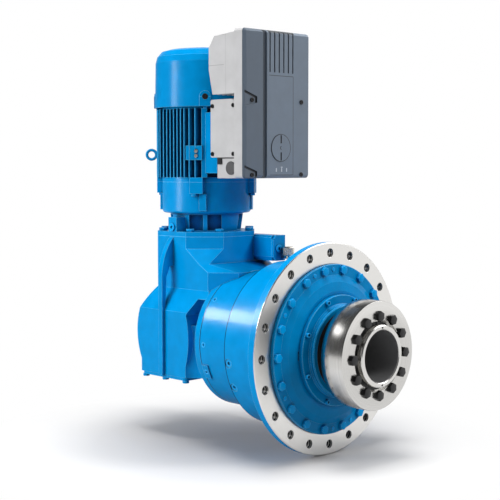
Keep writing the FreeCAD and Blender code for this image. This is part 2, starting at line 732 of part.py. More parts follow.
def second_pins():
    return planet_pins(SECOND_MODULE, SECOND_PIN_RADIUS, SECOND_DISC_REAR,
                       SECOND_DISC_FRONT + SECOND_CARRIER_DISC - SECOND_PIN_SINK)


def carrier_webs(module, radius, start, end):
    """Webs between the planets, which tie the two discs of a carrier together."""
    tip = (PLANET_TEETH / 2 + ADDENDUM) * module + 2.5
    web = ring(radius, (SUN_TEETH / 2 + 4) * module + 8, Vector(start, 0, 0), end - start)
    spaces = [rod(tip, centre + X * (start - 1), end - start + 2)
              for angle, centre in planet_places(module)]
    return [web.cut(group(spaces))]


def planet_pins(module, radius, start, end):
    return group(rod(radius, centre + X * start, end - start)
                 for angle, centre in planet_places(module))


def first_carrier():
    hub_rear = FIRST_BEARING_X - 1
    front = ring(FIRST_CARRIER_RADIUS, SECOND_SUN_SHAFT_RADIUS, Vector(FIRST_DISC_FRONT, 0, 0),
                 FIRST_CARRIER_DISC)
    rear = ring(FIRST_CARRIER_RADIUS, FIRST_SUN_CLEAR, Vector(FIRST_DISC_REAR, 0, 0),
                FIRST_CARRIER_DISC)
    hub = ring(FIRST_HUB_RADIUS, FIRST_SUN_CLEAR, Vector(hub_rear, 0, 0),
               FIRST_DISC_REAR - hub_rear)
    shape = fused([front, rear, hub] + carrier_webs(
        FIRST_MODULE, FIRST_CARRIER_RADIUS, FIRST_DISC_REAR + FIRST_CARRIER_DISC,
        FIRST_DISC_FRONT))
    return shape.cut(first_pins())


def first_pins():
    return planet_pins(FIRST_MODULE, FIRST_PIN_RADIUS, FIRST_DISC_REAR,
                       FIRST_DISC_FRONT + FIRST_CARRIER_DISC)


def second_sun():
    teeth = gear(SUN_TEETH, SECOND_MODULE, 0, SECOND_PLANET_REAR, SECOND_PLANET_WIDTH)
    start = FIRST_DISC_FRONT + SIDE_CLEARANCE
    shaft = rod(SECOND_SUN_SHAFT_RADIUS, Vector(start, 0, 0), SECOND_PLANET_REAR - start)
    return teeth.fuse(shaft)


def input_shaft():
    start = MOTOR_AXIS_X + WHEEL_DEPTH - 6
    teeth = gear(SUN_TEETH, FIRST_MODULE, 0, FIRST_PLANET_REAR, FIRST_PLANET_WIDTH - 1)
    shaft = rod(INPUT_SHAFT_RADIUS, Vector(start, 0, 0), FIRST_PLANET_REAR - start)
    return teeth.fuse(shaft)


# Shrink disc

def shrink_inner_ring():
    """Slit inner ring with an outer taper, clamped on the hollow shaft."""
    front = SHRINK_FRONT_X - SHRINK_RECESS_DEPTH
    body = turned([(SHRINK_REAR_X, SHAFT_END_RADIUS), (front, SHAFT_END_RADIUS),
                   (front, SHRINK_INNER_RADIUS),
                   (SHRINK_REAR_X, SHRINK_INNER_RADIUS - SHRINK_TAPER)])
    slit = box(SHRINK_REAR_X - 1, front + 1, -SHRINK_SPLIT_WIDTH / 2,
               SHRINK_SPLIT_WIDTH / 2, SHAFT_END_RADIUS - 2, SHRINK_INNER_RADIUS + 2)
    return body.cut(slit)


def shrink_outer_ring():
    """Outer ring with a rounded rear edge and a recess round the shaft end."""
    floor = SHRINK_FRONT_X - SHRINK_RECESS_DEPTH
    body = turned([(SHRINK_REAR_X, SHRINK_INNER_RADIUS - SHRINK_TAPER),
                   (SHRINK_REAR_X, SHRINK_RADIUS), (SHRINK_FRONT_X - 2, SHRINK_RADIUS),
                   (SHRINK_FRONT_X, SHRINK_RADIUS - 2), (SHRINK_FRONT_X, SHRINK_RECESS_RADIUS),
                   (floor, SHRINK_RECESS_RADIUS), (floor, SHRINK_INNER_RADIUS)])
    rear_edge = [edge for edge in body.Edges if edge.Curve.TypeId == "Part::GeomCircle"
                 and abs(edge.Curve.Radius - SHRINK_RADIUS) < 0.1
                 and abs(edge.Curve.Center.x - SHRINK_REAR_X) < 0.1]
    return body.makeFillet(SHRINK_REAR_ROUND, rear_edge)


def shrink_bolts():
    bolt = hex_bolt(M12, top_point(SHRINK_FRONT_X, SHRINK_BOLT_CIRCLE), X, SHRINK_BOLT_DEPTH)
    return around(bolt, spaced(SHRINK_BOLTS))


# Middle housing

def first_housing():
    outline = [(FIRST_HOUSING_REAR, FIRST_RING_OUTER), (FIRST_HOUSING_REAR, FIRST_HOUSING_RADIUS),
               (OUTPUT_HOUSING_REAR, FIRST_HOUSING_RADIUS), (OUTPUT_HOUSING_REAR, FIRST_RING_OUTER),
               (OUTPUT_HOUSING_REAR + FIRST_SPIGOT_DEPTH, FIRST_RING_OUTER),
               (OUTPUT_HOUSING_REAR + FIRST_SPIGOT_DEPTH, REAR_BEARING_OUTER),
               (REAR_BEARING_X, REAR_BEARING_OUTER), (REAR_BEARING_X, REAR_BEARING_OUTER - 6),
               (REAR_BEARING_X - 4, REAR_BEARING_OUTER - 6), (REAR_BEARING_X - 4, REAR_BEARING_OUTER + 8),
               (FIRST_WEB_REAR, FIRST_CARRIER_RADIUS + 4), (FIRST_WEB_REAR, FIRST_RING_OUTER)]
    half = LEVEL_PAD_LENGTH / 2
    pad = box(LEVEL_PLUG_X - half, LEVEL_PLUG_X + half, -LEVEL_PAD_WIDTH / 2, LEVEL_PAD_WIDTH / 2,
              FIRST_HOUSING_RADIUS - 6, FIRST_HOUSING_RADIUS + LEVEL_PAD_PROUD)
    return turned(outline).fuse(turn(pad, LEVEL_PLUG_ANGLES[-1]))


# Bevel housing

def bevel_housing():
    x_rear = MOTOR_AXIS_X - BODY_HALF_LENGTH
    x_front = MOTOR_AXIS_X + BODY_HALF_LENGTH
    bottom = BODY_BOTTOM_Z + BOTTOM_PLATE
    half = BODY_HALF_WIDTH
    body = body_side(x_rear, x_front, bottom).common(under_roof(x_rear - 30, BODY_ROOF_FRONT_X, bottom))

    neck_front = MOTOR_AXIS_X + NECK_HALF
    neck = [
        ruled([octagon(NECK_HALF, NECK_CHAMFER, HEAD_CHAMFER, NECK_FOOT_Z, BODY_HALF_LENGTH),
               octagon(NECK_HALF, NECK_CHAMFER, HEAD_CHAMFER, BODY_SHOULDER_Z)]),
        prism(octagon(NECK_HALF, NECK_CHAMFER, HEAD_CHAMFER, BODY_SHOULDER_Z),
              Z * (NECK_LEDGE_Z - BODY_SHOULDER_Z)),
        ruled([octagon(NECK_HALF, NECK_CHAMFER, HEAD_CHAMFER, NECK_LEDGE_Z),
               octagon(NECK_HALF, HEAD_CHAMFER, HEAD_CHAMFER, HEAD_TAPER_Z)]),
        prism(octagon(NECK_HALF, HEAD_CHAMFER, HEAD_CHAMFER, HEAD_TAPER_Z),
              Z * (HEAD_TOP_Z - HEAD_TAPER_Z)),
    ]
    over_pocket = POCKET_ROOF_Z + 4
    keep = box(x_rear - 60, x_front, -half, half, -half, HEAD_TOP_Z).fuse(
        box(x_front - 1, neck_front + 1, -half, half, over_pocket, HEAD_TOP_Z))
    neck[0] = neck[0].common(keep)
    neck[1] = neck[1].common(keep)

    flange = rod(FIRST_HOUSING_RADIUS, Vector(BODY_FLANGE_REAR, 0, 0), BODY_FLANGE_LENGTH)
    pilot = rod(FIRST_RING_OUTER, Vector(FIRST_HOUSING_REAR, 0, 0), FIRST_PILOT_DEPTH)
    web = box(x_front - 10, BODY_FLANGE_REAR, -POCKET_INNER_Y, POCKET_INNER_Y, 0, over_pocket)
    shape = fused([body] + neck + [flange, pilot, bevel_bridge(x_front, bottom), web,
                                   pocket_roof(x_front, bottom), nose(x_front, over_pocket),
                                   side_rib(bottom), auxiliary_block()])
    return shape.cut(bevel_cavity(bottom))


def body_side(x_rear, x_front, bottom):
    """The gear body as its side outline shows it: a barrelled rear and a slightly bowed front."""
    half = BODY_HALF_WIDTH

    def at(x, z):
        return Vector(x, -half, z)

    rear = [at(x_rear, bottom), at(x_rear, BODY_BARREL_LOW_Z), at(x_rear - BODY_BARREL_BULGE, BODY_BARREL_Z),
            at(BODY_ROOF_REAR_X, BODY_ROOF_Z + 1)]
    middle_z = (BODY_SHOULDER_Z + BODY_FRONT_LOW_Z) / 2
    front = [at(BODY_ROOF_FRONT_X, BODY_ROOF_Z + 1), at(x_front, BODY_SHOULDER_Z),
             at(x_front + BODY_FRONT_BULGE, middle_z), at(x_front, BODY_FRONT_LOW_Z), at(x_front, bottom)]
    edges = [Part.makeLine(rear[0], rear[1]), Part.Arc(*rear[1:]).toShape(),
             Part.makeLine(rear[3], front[0]), Part.makeLine(front[0], front[1]),
             Part.Arc(*front[1:4]).toShape(), Part.makeLine(front[3], front[4]),
             Part.makeLine(front[4], rear[0])]
    return Part.Face(Part.Wire(edges)).extrude(Y * 2 * half)


def under_roof(x0, x1, bottom):
    """Everything between two places along X that lies under the sloping shoulders."""
    half = BODY_HALF_WIDTH
    profile = [(half, bottom), (half, BODY_SHOULDER_Z), (NECK_HALF, BODY_ROOF_Z),
               (-NECK_HALF, BODY_ROOF_Z), (-half, BODY_SHOULDER_Z), (-half, bottom)]
    return prism([Vector(x0, y, z) for y, z in profile], X * (x1 - x0))


def pocket_roof(x_front, bottom):
    """The slanting band that closes the side pockets above, under the shoulders."""
    line = [(x_front - 12, BODY_SHOULDER_Z - 8), (x_front, BODY_SHOULDER_Z - 8),
            (POCKET_ROOF_X, POCKET_ROOF_Z), (BODY_FLANGE_REAR, POCKET_ROOF_Z),
            (BODY_FLANGE_REAR, BODY_ROOF_Z), (x_front - 12, BODY_ROOF_Z)]
    band = prism([Vector(x, -BODY_HALF_WIDTH, z) for x, z in line], Y * 2 * BODY_HALF_WIDTH)
    return band.common(under_roof(x_front - 12, BODY_FLANGE_REAR, bottom))


def nose(x_front, foot_z):
    """The part of the neck that reaches over the round flange and falls away to it."""
    low = octagon(NECK_HALF, NOSE_CHAMFER, HEAD_CHAMFER, NOSE_TOP_Z, 0, NOSE_REACH)
    high = octagon(NECK_HALF, NECK_CHAMFER, HEAD_CHAMFER, NECK_LEDGE_Z, 0)
    foot = [Vector(point.x, point.y, foot_z) for point in low]
    block = ruled([low, high]).fuse(prism(foot, Z * (NOSE_TOP_Z - foot_z)))
    ahead = rod(FIRST_HOUSING_RADIUS + NOSE_GAP, Vector(FIRST_HOUSING_REAR, 0, 0), FIRST_HOUSING_LENGTH)
    reach = MOTOR_AXIS_X + NOSE_REACH + 1
    return block.common(box(x_front - 10, reach, -NECK_HALF, NECK_HALF, foot_z, NECK_LEDGE_Z)).cut(ahead)


def bevel_bridge(x_front, bottom):
    """The waisted wall between the gear body and the round flange."""
    half = BODY_HALF_WIDTH
    start = Vector(x_front - 12, -half, bottom)
    corner = Vector(x_front, -half, bottom)
    middle = Vector((x_front + BODY_FLANGE_REAR) / 2, -BRIDGE_HALF_WIDTH - 4, bottom)
    end = Vector(BODY_FLANGE_REAR, -BRIDGE_HALF_WIDTH, bottom)
    curve = Part.Arc(corner, middle, end).toShape()
    mirror = curve.mirror(ORIGIN, Y)
    far_start = Vector(start.x, half, bottom)
    far_corner = Vector(corner.x, half, bottom)
    far_end = Vector(end.x, -end.y, bottom)
    edges = [Part.makeLine(start, corner), curve, Part.makeLine(end, far_end), mirror,
             Part.makeLine(far_corner, far_start), Part.makeLine(far_start, start)]
    wall = Part.Face(Part.Wire(Part.__sortEdges__(edges))).extrude(
        Z * (BRIDGE_POCKET_Z - bottom))
    return wall


def side_rib(bottom):
    """The upright rib on the -Y side, with its window beside the neck."""
    x = MOTOR_AXIS_X - RIB_THICKNESS / 2
    outer = -RIB_OUTER_Y
    foot = Vector(x, outer, bottom)
    bend = Vector(x, outer, RIB_CURVE_Z - 26)
    middle = Vector(x, -(RIB_OUTER_Y + NECK_HALF) / 2 - 3, RIB_CURVE_Z + 26)
    apex = Vector(x, -NECK_HALF + 1, RIB_APEX_Z)
    inside = Vector(x, -NECK_HALF + 5, RIB_APEX_Z)
    back = Vector(x, -NECK_HALF + 5, bottom)
    edges = [Part.makeLine(foot, bend), Part.Arc(bend, middle, apex).toShape(),
             Part.makeLine(apex, inside), Part.makeLine(inside, back), Part.makeLine(back, foot)]
    plate = Part.Face(Part.Wire(edges)).extrude(X * RIB_THICKNESS)
    window = [(-NECK_HALF, RIB_WINDOW_TOP_Z), (-NECK_HALF - 10, RIB_WINDOW_TOP_Z),
              (outer + RIB_WINDOW_WALL + 3, RIB_WINDOW_TOP_Z - 22),
              (outer + RIB_WINDOW_WALL, BODY_SHOULDER_Z + 4), (-NECK_HALF, BODY_ROOF_Z)]
    return plate.cut(prism([Vector(x - 1, y, z) for y, z in window], X * (RIB_THICKNESS + 2)))


def bevel_cavity(bottom):
    x_rear = MOTOR_AXIS_X - BODY_HALF_LENGTH + BODY_WALL
    x_front = MOTOR_AXIS_X + BODY_HALF_LENGTH - BODY_WALL
    half = BODY_HALF_WIDTH - BODY_WALL
    profile = [(half, bottom - 1), (half, BODY_SHOULDER_Z - 7), (NECK_HALF - 14, BODY_ROOF_Z - 15),
               (-NECK_HALF + 14, BODY_ROOF_Z - 15), (-half, BODY_SHOULDER_Z - 7), (-half, bottom - 1)]
    room = prism([Vector(x_rear, y, z) for y, z in profile], X * (x_front - x_rear))
    sleeve = rod(INPUT_SLEEVE_RADIUS, Vector(INPUT_BEARING_XS[1], 0, 0), 60)
    room = room.cut(sleeve)
    seat_end = INPUT_BEARING_XS[0] + INPUT_BEARING_WIDTH
    bearing_bore = rod(INPUT_BEARING_OUTER, Vector(x_rear, 0, 0), seat_end - x_rear)
    lip = rod(INPUT_BEARING_OUTER - 4, Vector(seat_end - 2, 0, 0), 30)
    hub_pocket = rod(FIRST_HUB_RADIUS + 10, Vector(FIRST_BEARING_X - 4, 0, 0), 10)
    carrier_bore = rod(FIRST_BEARING_OUTER, Vector(FIRST_BEARING_X, 0, 0), 40)
    pinion_bore = rod(PINION_BEARING_OUTER, Vector(MOTOR_AXIS_X, 0, 60), HEAD_TOP_Z, Z)
    return fused([room, bearing_bore, lip, hub_pocket, carrier_bore, pinion_bore])


def auxiliary_block():
    rear = MOTOR_AXIS_X + NECK_HALF - 40
    y0, y1 = BLOCK_Y, BLOCK_Y + BLOCK_WIDTH
    z0, z1 = BLOCK_BOTTOM_Z, BLOCK_BOTTOM_Z + BLOCK_HEIGHT
    cut = BLOCK_CHAMFER
    corners = [(y0 + cut / 2, z0), (y0, z0 + cut), (y0, z1 - cut / 2), (y0 + cut / 2, z1),
               (y1 - cut / 2, z1), (y1, z1 - cut / 2), (y1, z0 + cut), (y1 - cut / 2, z0)]
    block = prism([Vector(rear, y, z) for y, z in corners], X * (BLOCK_FRONT_X - rear))
    adapter = prism(octagon(NECK_HALF + ADAPTER_GAP, HEAD_CHAMFER, HEAD_CHAMFER, HEAD_TOP_Z),
                    Z * BLOCK_HEIGHT)
    return block.cut(adapter)


def block_end_plate():
    y0, y1 = BLOCK_Y, BLOCK_Y + BLOCK_WIDTH
    z0, z1 = BLOCK_BOTTOM_Z, BLOCK_BOTTOM_Z + BLOCK_HEIGHT
    cut = BLOCK_CHAMFER
    corners = [(y0 + cut, z0), (y0, z0 + cut), (y0, z1 - cut), (y0 + cut, z1),
               (y1, z1), (y1, z0)]
    return prism([Vector(BLOCK_FRONT_X, y, z) for y, z in corners], X * END_PLATE)


def breather():
    """An upright breather on an elbow that comes out of the end plate."""
    stem = BREATHER_STEM_RADIUS
    start = Vector(BLOCK_FRONT_X + END_PLATE, BREATHER_Y, BREATHER_ELBOW_Z + stem)
    corner = Vector(BREATHER_X, BREATHER_Y, BREATHER_ELBOW_Z + stem)
    elbow = rod(stem, start, BREATHER_X + stem - start.x)
    upright = rod(stem, corner, BREATHER_CAP_Z + 2 - corner.z, Z)
    cap = rod(BREATHER_RADIUS, Vector(BREATHER_X, BREATHER_Y, BREATHER_CAP_Z + stem), BREATHER_HEIGHT - stem, Z)
    collar = rod(BREATHER_RADIUS * 0.6, corner, BREATHER_CAP_Z + stem - corner.z, Z)
    return fused([elbow, upright, collar, cap])


def bottom_cover():
    x_rear = MOTOR_AXIS_X - BODY_HALF_LENGTH + 1
    x_front = MOTOR_AXIS_X + BODY_HALF_LENGTH - 1
    return rounded_plate(x_rear, x_front, BODY_HALF_WIDTH - 1, BODY_BOTTOM_Z, BOTTOM_PLATE)


def rounded_plate(x0, x1, half, z, thickness):
    plate = box(x0, x1, -half, half, z, z + thickness)
    edges = [edge for edge in plate.Edges if abs(edge.tangentAt(edge.FirstParameter).z) > 0.9]
    return plate.makeFillet(BOTTOM_PLATE_CORNER, edges)


def bottom_bolts():
    reach = BODY_HALF_LENGTH - BODY_WALL / 2
    across = BODY_HALF_WIDTH - BODY_WALL / 2
    places = [(MOTOR_AXIS_X + x, y) for x in (-reach, 0, reach) for y in (-across, across)]
    return [hex_bolt(M8, Vector(x, y, BODY_BOTTOM_Z), -Z, BOTTOM_BOLT_DEPTH) for x, y in places]


# Motor adapter and coupling

def motor_adapter():
    base = prism(octagon(NECK_HALF, HEAD_CHAMFER, HEAD_CHAMFER, HEAD_TOP_Z), Z * ADAPTER_FLANGE)
    neck = Part.makeCone(ADAPTER_NECK_LOWER, ADAPTER_NECK_UPPER, BELL_BOTTOM_Z - HEAD_FACE_Z,
                         Vector(MOTOR_AXIS_X, 0, HEAD_FACE_Z), Z)
    for angle in (45, 135, 225, 315):
        pocket = box(52, 95, -34, 34, HEAD_FACE_Z + 2, BELL_BOTTOM_Z - 3)
        pocket = pocket.cut(box(50, 100, -4.5, 4.5, HEAD_FACE_Z, BELL_BOTTOM_Z))
        pocket.translate(MOTOR_AXIS)
        neck = neck.cut(turn(pocket, angle, Z, MOTOR_AXIS))
    bell = rod(BELL_RADIUS, Vector(MOTOR_AXIS_X, 0, BELL_BOTTOM_Z), BELL_TOP_Z - BELL_BOTTOM_Z, Z)
    rim = [edge for edge in bell.Edges if edge.Curve.TypeId == "Part::GeomCircle"
           and abs(edge.CenterOfMass.z - BELL_BOTTOM_Z) < 0.1]
    bell = bell.makeFillet(6, rim)
    lugs = around(bell_lug(BELL_TOP_Z - LUG_HEIGHT, LUG_HEIGHT), spaced(4, LUG_ANGLE), Z, MOTOR_AXIS)
    pillars = around(bell_pillar(), spaced(4, LUG_ANGLE), Z, MOTOR_AXIS)
    lifting_lug = box(LIFTING_LUG_REAR, LIFTING_LUG_FRONT, -NECK_HALF, -ADAPTER_NECK_LOWER + 6,
                      HEAD_FACE_Z, HEAD_FACE_Z + LIFTING_LUG_HEIGHT)
    lifting_lug.translate(MOTOR_AXIS)
    lifting_lug = lifting_lug.cut(rod(LIFTING_HOLE_RADIUS, lifting_hole() - Y, LIFTING_HOLE_DEPTH + 1, Y))
    shape = fused([base, neck, bell, lifting_lug] + lugs + pillars)
    cavity = rod(BELL_RADIUS - BELL_WALL, Vector(MOTOR_AXIS_X, 0, BELL_BOTTOM_Z + 8), 200, Z)
    bore = rod(PINION_BEARING_OUTER - 2, Vector(MOTOR_AXIS_X, 0, HEAD_TOP_Z - 1), 100, Z)
    return shape.cut(cavity).cut(bore)


def lifting_hole():
    middle = (LIFTING_LUG_REAR + LIFTING_LUG_FRONT) / 2
    return Vector(MOTOR_AXIS_X + middle, -NECK_HALF, LIFTING_HOLE_Z)


def bell_lug(z, height):
    lug = box(BELL_RADIUS - 6, LUG_REACH, -LUG_WIDTH / 2, LUG_WIDTH / 2, z, z + height)
    lug.translate(MOTOR_AXIS)
    return lug


def bell_pillar():
    pillar = box(BELL_RADIUS - 6, BELL_RADIUS + 3, 4, 20, BELL_BOTTOM_Z + 6, BELL_TOP_Z - LUG_HEIGHT)
    pillar.translate(MOTOR_AXIS)
    return pillar


def coupling_hub(z, bore, tooth_z):
    """A jaw coupling hub: a round body with three jaws that reach into the spider."""
    body = ring(COUPLING_RADIUS, bore, Vector(MOTOR_AXIS_X, 0, z), COUPLING_HUB, Z)
    jaw = box(bore + 4, COUPLING_RADIUS, -6, 6, tooth_z, tooth_z + SPIDER_HEIGHT)
    jaw = jaw.common(rod(COUPLING_RADIUS, Vector(0, 0, tooth_z), SPIDER_HEIGHT, Z))
    jaw.translate(MOTOR_AXIS)
    return body, jaw


def coupling():
    low_top = COUPLING_BOTTOM_Z + COUPLING_HUB
    high_bottom = low_top + SPIDER_HEIGHT
    low, jaw = coupling_hub(COUPLING_BOTTOM_Z, PINION_SHAFT_RADIUS, low_top)
    high = coupling_hub(high_bottom, MOTOR_SHAFT_RADIUS, low_top)[0]
    low_jaws = around(jaw, (0, 120, 240), Z, MOTOR_AXIS)
    high_jaws = around(jaw, (60, 180, 300), Z, MOTOR_AXIS)
    spider = ring(COUPLING_RADIUS - 1, 8, Vector(MOTOR_AXIS_X, 0, low_top), SPIDER_HEIGHT, Z)
    spider = spider.cut(group(low_jaws + high_jaws))
    return fused([low] + low_jaws), fused([high] + high_jaws), spider


# Motor

def motor_frame():
    height = FRAME_TOP_Z - SHIELD_TOP_Z
    base = Vector(MOTOR_AXIS_X, 0, SHIELD_TOP_Z)
    tube = rod(FRAME_TUBE_RADIUS, base, height, Z)
    blades = []
    first = -FIN_PITCH * (FIN_COUNT - 1) / 2
    for index in range(FIN_COUNT):
        offset = first + index * FIN_PITCH
        tip = min(FIN_FLAT, math.sqrt(FIN_ENVELOPE ** 2 - offset ** 2))
        root = math.sqrt(FRAME_TUBE_RADIUS ** 2 - offset ** 2) - 4
        blade = box(root, tip, offset - FIN_THICKNESS / 2, offset + FIN_THICKNESS / 2,
                    SHIELD_TOP_Z, FRAME_TOP_Z)
        blade.translate(MOTOR_AXIS)
        blades += around(blade, (90, 180, 270), Z, MOTOR_AXIS)
    column = box(FRAME_TUBE_RADIUS - 6, FIN_ENVELOPE, -COLUMN_WIDTH / 2, COLUMN_WIDTH / 2,
                 SHIELD_TOP_Z, FRAME_TOP_Z)
    column.translate(MOTOR_AXIS)
    columns = around(column, (45, 135, 225, 315), Z, MOTOR_AXIS)
    pad = box(FRAME_TUBE_RADIUS - 4, FIN_ENVELOPE, -COLUMN_WIDTH, 2 * COLUMN_WIDTH,
              EARTH_PAD_BOTTOM_Z, EARTH_PAD_TOP_Z)
    pad.translate(MOTOR_AXIS)
    pads = around(pad, (-60, 120), Z, MOTOR_AXIS)
    inside = FRAME_TUBE_RADIUS - 20
    half = PEDESTAL_HALF_WIDTH
    pedestal = box(inside, TERMINAL_REAR_X - MOTOR_AXIS_X, -half, half, PEDESTAL_BOTTOM_Z, PEDESTAL_TOP_Z)
    pedestal.translate(MOTOR_AXIS)
    half = PEDESTAL_FOOT_HALF_WIDTH
    foot = box(inside, ENTRY_REAR_X - MOTOR_AXIS_X, -half, half, PEDESTAL_BOTTOM_Z, PEDESTAL_FOOT_TOP_Z)
    foot.translate(MOTOR_AXIS)
    shape = fused([tube, pedestal, foot] + blades + columns + pads)
    return shape.cut(rod(FRAME_BORE_RADIUS, base - Z, height + 2, Z))


def end_shield(z, thickness, inward):
    """A motor end shield with its spigot, bearing seat and shaft hole."""
    base = Vector(MOTOR_AXIS_X, 0, z)
    disc = rod(BELL_RADIUS, base, thickness, Z)
    spigot_z = z + thickness if inward > 0 else z - 6
    spigot = ring(FRAME_BORE_RADIUS, FRAME_BORE_RADIUS - 6, Vector(MOTOR_AXIS_X, 0, spigot_z), 6, Z)
    seat_z = z + 3 if inward > 0 else z + thickness - 3 - MOTOR_BEARING_WIDTH
    boss = rod(MOTOR_BEARING_OUTER + 8, Vector(MOTOR_AXIS_X, 0, seat_z), MOTOR_BEARING_WIDTH, Z)
    shape = fused([disc, spigot, boss])
    seat = rod(MOTOR_BEARING_OUTER, Vector(MOTOR_AXIS_X, 0, seat_z), MOTOR_BEARING_WIDTH + 1, Z)
    if inward < 0:
        seat = rod(MOTOR_BEARING_OUTER, Vector(MOTOR_AXIS_X, 0, seat_z - 1), MOTOR_BEARING_WIDTH + 1, Z)
    hole = rod(MOTOR_SHAFT_RADIUS + 1, Vector(MOTOR_AXIS_X, 0, z - 40), 80, Z)
    return shape.cut(seat).cut(hole), seat_z


def fan_cover():
    bottom, shoulder, top = FAN_COVER_BOTTOM_Z, FAN_COVER_SHOULDER_Z, FAN_COVER_TOP_Z
    dome = [(shoulder, FAN_COVER_SHOULDER_RADIUS), (shoulder + 13, 105.5), (shoulder + 24, 96),
            (top - 5, 82), (top - 1.5, 50), (top, 20), (top, 0)]
    wall = FAN_COVER_WALL
    outer = [(bottom, FAN_COVER_RADIUS)] + dome
    inner = [(z - wall if radius < 100 else z - 1, max(radius - wall, 0)) for z, radius in dome]
    shell = turned(outer + inner[::-1] + [(bottom, FAN_COVER_RADIUS - wall)], Z, MOTOR_AXIS)
    slot = box(FAN_SLOT_INNER, FAN_SLOT_OUTER, -FAN_SLOT_WIDTH / 2, FAN_SLOT_WIDTH / 2, top - 20, top + 5)
    slot.translate(MOTOR_AXIS)
    shell = shell.cut(group(around(slot, spaced(FAN_SLOTS), Z, MOTOR_AXIS)))
    reach = FAN_COVER_RADIUS + 1.5
    pad = rod(FAN_PAD_RADIUS, Vector(FAN_COVER_RADIUS - wall - 0.5, 0, FAN_SCREW_Z), 4, X)
    apron = box(FAN_COVER_RADIUS - wall - 0.5, reach, -FAN_PAD_RADIUS, FAN_PAD_RADIUS, bottom, FAN_SCREW_Z)
    pads = []
    for piece in (pad, apron):
        piece.translate(MOTOR_AXIS)
        pads += around(piece, spaced(4, FAN_SCREW_ANGLE), Z, MOTOR_AXIS)
    hole = rod(3.2, Vector(60, 0, FAN_SCREW_Z), 80, X)
    hole.translate(MOTOR_AXIS)
    return fused([shell] + pads).cut(group(around(hole, spaced(4, FAN_SCREW_ANGLE), Z, MOTOR_AXIS)))


def fan():
    base = Vector(MOTOR_AXIS_X, 0, FAN_BOTTOM_Z)
    hub = ring(24, MOTOR_SHAFT_RADIUS, base, FAN_HEIGHT, Z)
    disc = ring(FAN_RADIUS - 18, 20, base, 4, Z)
    blade = box(20, FAN_RADIUS, -1.5, 1.5, FAN_BOTTOM_Z, FAN_BOTTOM_Z + FAN_HEIGHT)
    blade.translate(MOTOR_AXIS)
    return fused([hub, disc] + around(blade, spaced(FAN_BLADES), Z, MOTOR_AXIS))


def eyebolt(angle, z):
    radius = FIN_ENVELOPE + 12
    section = Part.Face(Part.Wire(Part.makeCircle(3, Vector(radius, 0, z + 10), X)))
    eye = section.revolve(Vector(radius, 0, z), Y, 360)
    shank = rod(2.5, Vector(FRAME_TUBE_RADIUS - 2, 0, z), radius - 10 - FRAME_TUBE_RADIUS + 2)
    collar = rod(8, Vector(FIN_ENVELOPE, 0, z), 3)
    shape = fused([eye, shank, collar])
    shape.translate(MOTOR_AXIS)
    return turn(shape, angle, Z, MOTOR_AXIS)


# Terminal box and drive

def heatsink():
    half = DRIVE_HALF_WIDTH
    top = HEATSINK_TOP_Z
    profile = [(DRIVE_SIDE_REAR_X, HEATSINK_BOTTOM_Z), (HEATSINK_REAR_X + 11, HEATSINK_BOTTOM_Z),
               (HEATSINK_REAR_X, HEATSINK_BOTTOM_Z + 50), (HEATSINK_REAR_X, top - 28),
               (HEATSINK_REAR_X + 16, top - 5), (DRIVE_SIDE_REAR_X, top)]
    block = prism([Vector(x, -half, z) for x, z in profile], Y * 2 * half)
    pitch = (2 * half - HEATSINK_FIN) / (HEATSINK_FINS - 1)
    gaps = [box(HEATSINK_REAR_X - 1, DRIVE_SIDE_REAR_X - 8, -half + HEATSINK_FIN + index * pitch,
                -half + (index + 1) * pitch, HEATSINK_BOTTOM_Z - 1, top + 1)
            for index in range(HEATSINK_FINS - 1)]
    return block.cut(group(gaps))


def drive_base():
    x1 = DRIVE_FRONT_X - DRIVE_BEVEL
    half = DRIVE_HALF_WIDTH
    body = rounded_box(DRIVE_SIDE_REAR_X, x1, -half, half, DRIVE_BOTTOM_Z, DRIVE_TOP_Z, DRIVE_CORNER)
    wall = DRIVE_WALL
    room = box(DRIVE_SIDE_REAR_X + wall, x1 + 1, -half + wall, half - wall,
               DRIVE_BOTTOM_Z + wall, DRIVE_TOP_Z - wall)
    return body.cut(room)


def drive_cover():
    x0 = DRIVE_FRONT_X - DRIVE_BEVEL
    half = DRIVE_HALF_WIDTH
    bottom, top = DRIVE_BOTTOM_Z, DRIVE_TOP_Z
    body = rounded_box(x0, DRIVE_FRONT_X, -half, half, bottom, top, DRIVE_CORNER)
    front = [edge for edge in body.Edges if abs(edge.BoundBox.XMin - DRIVE_FRONT_X) < 0.01
             and abs(edge.BoundBox.XMax - DRIVE_FRONT_X) < 0.01]
    body = body.makeChamfer(DRIVE_BEVEL - 0.5, front)
    groove = box(DRIVE_FRONT_X - GROOVE_DEPTH, DRIVE_FRONT_X + 1, GROOVE_Y - GROOVE_WIDTH / 2,
                 GROOVE_Y + GROOVE_WIDTH / 2, bottom - 1, top + 1)
    first = VENT_CENTRE_Y - VENT_PITCH * (VENTS - 1) / 2
    vents = [box(DRIVE_FRONT_X - VENT_DEPTH, DRIVE_FRONT_X + 1, first + index * VENT_PITCH - VENT_WIDTH / 2,
                 first + index * VENT_PITCH + VENT_WIDTH / 2, VENT_BOTTOM_Z, top + 1)
             for index in range(VENTS)]
    pockets = [screw_pocket(z) for z in DRIVE_SCREW_ZS]
    cap_hole = rod(CAP_RADIUS + RUNNING_FIT, Vector(DRIVE_FRONT_X - CAP_DEPTH, CAP_Y, CAP_Z), 20)
    return body.cut(group([groove] + vents + pockets + [cap_hole]))


def screw_pocket(z):
    outline = [(-DRIVE_HALF_WIDTH + 4, z - 13), (-DRIVE_HALF_WIDTH + 4, z + 18), (-60, z + 7), (-60, z - 5)]
    return prism([Vector(DRIVE_FRONT_X - SCREW_POCKET_DEPTH, y, height) for y, height in outline], X * 8)


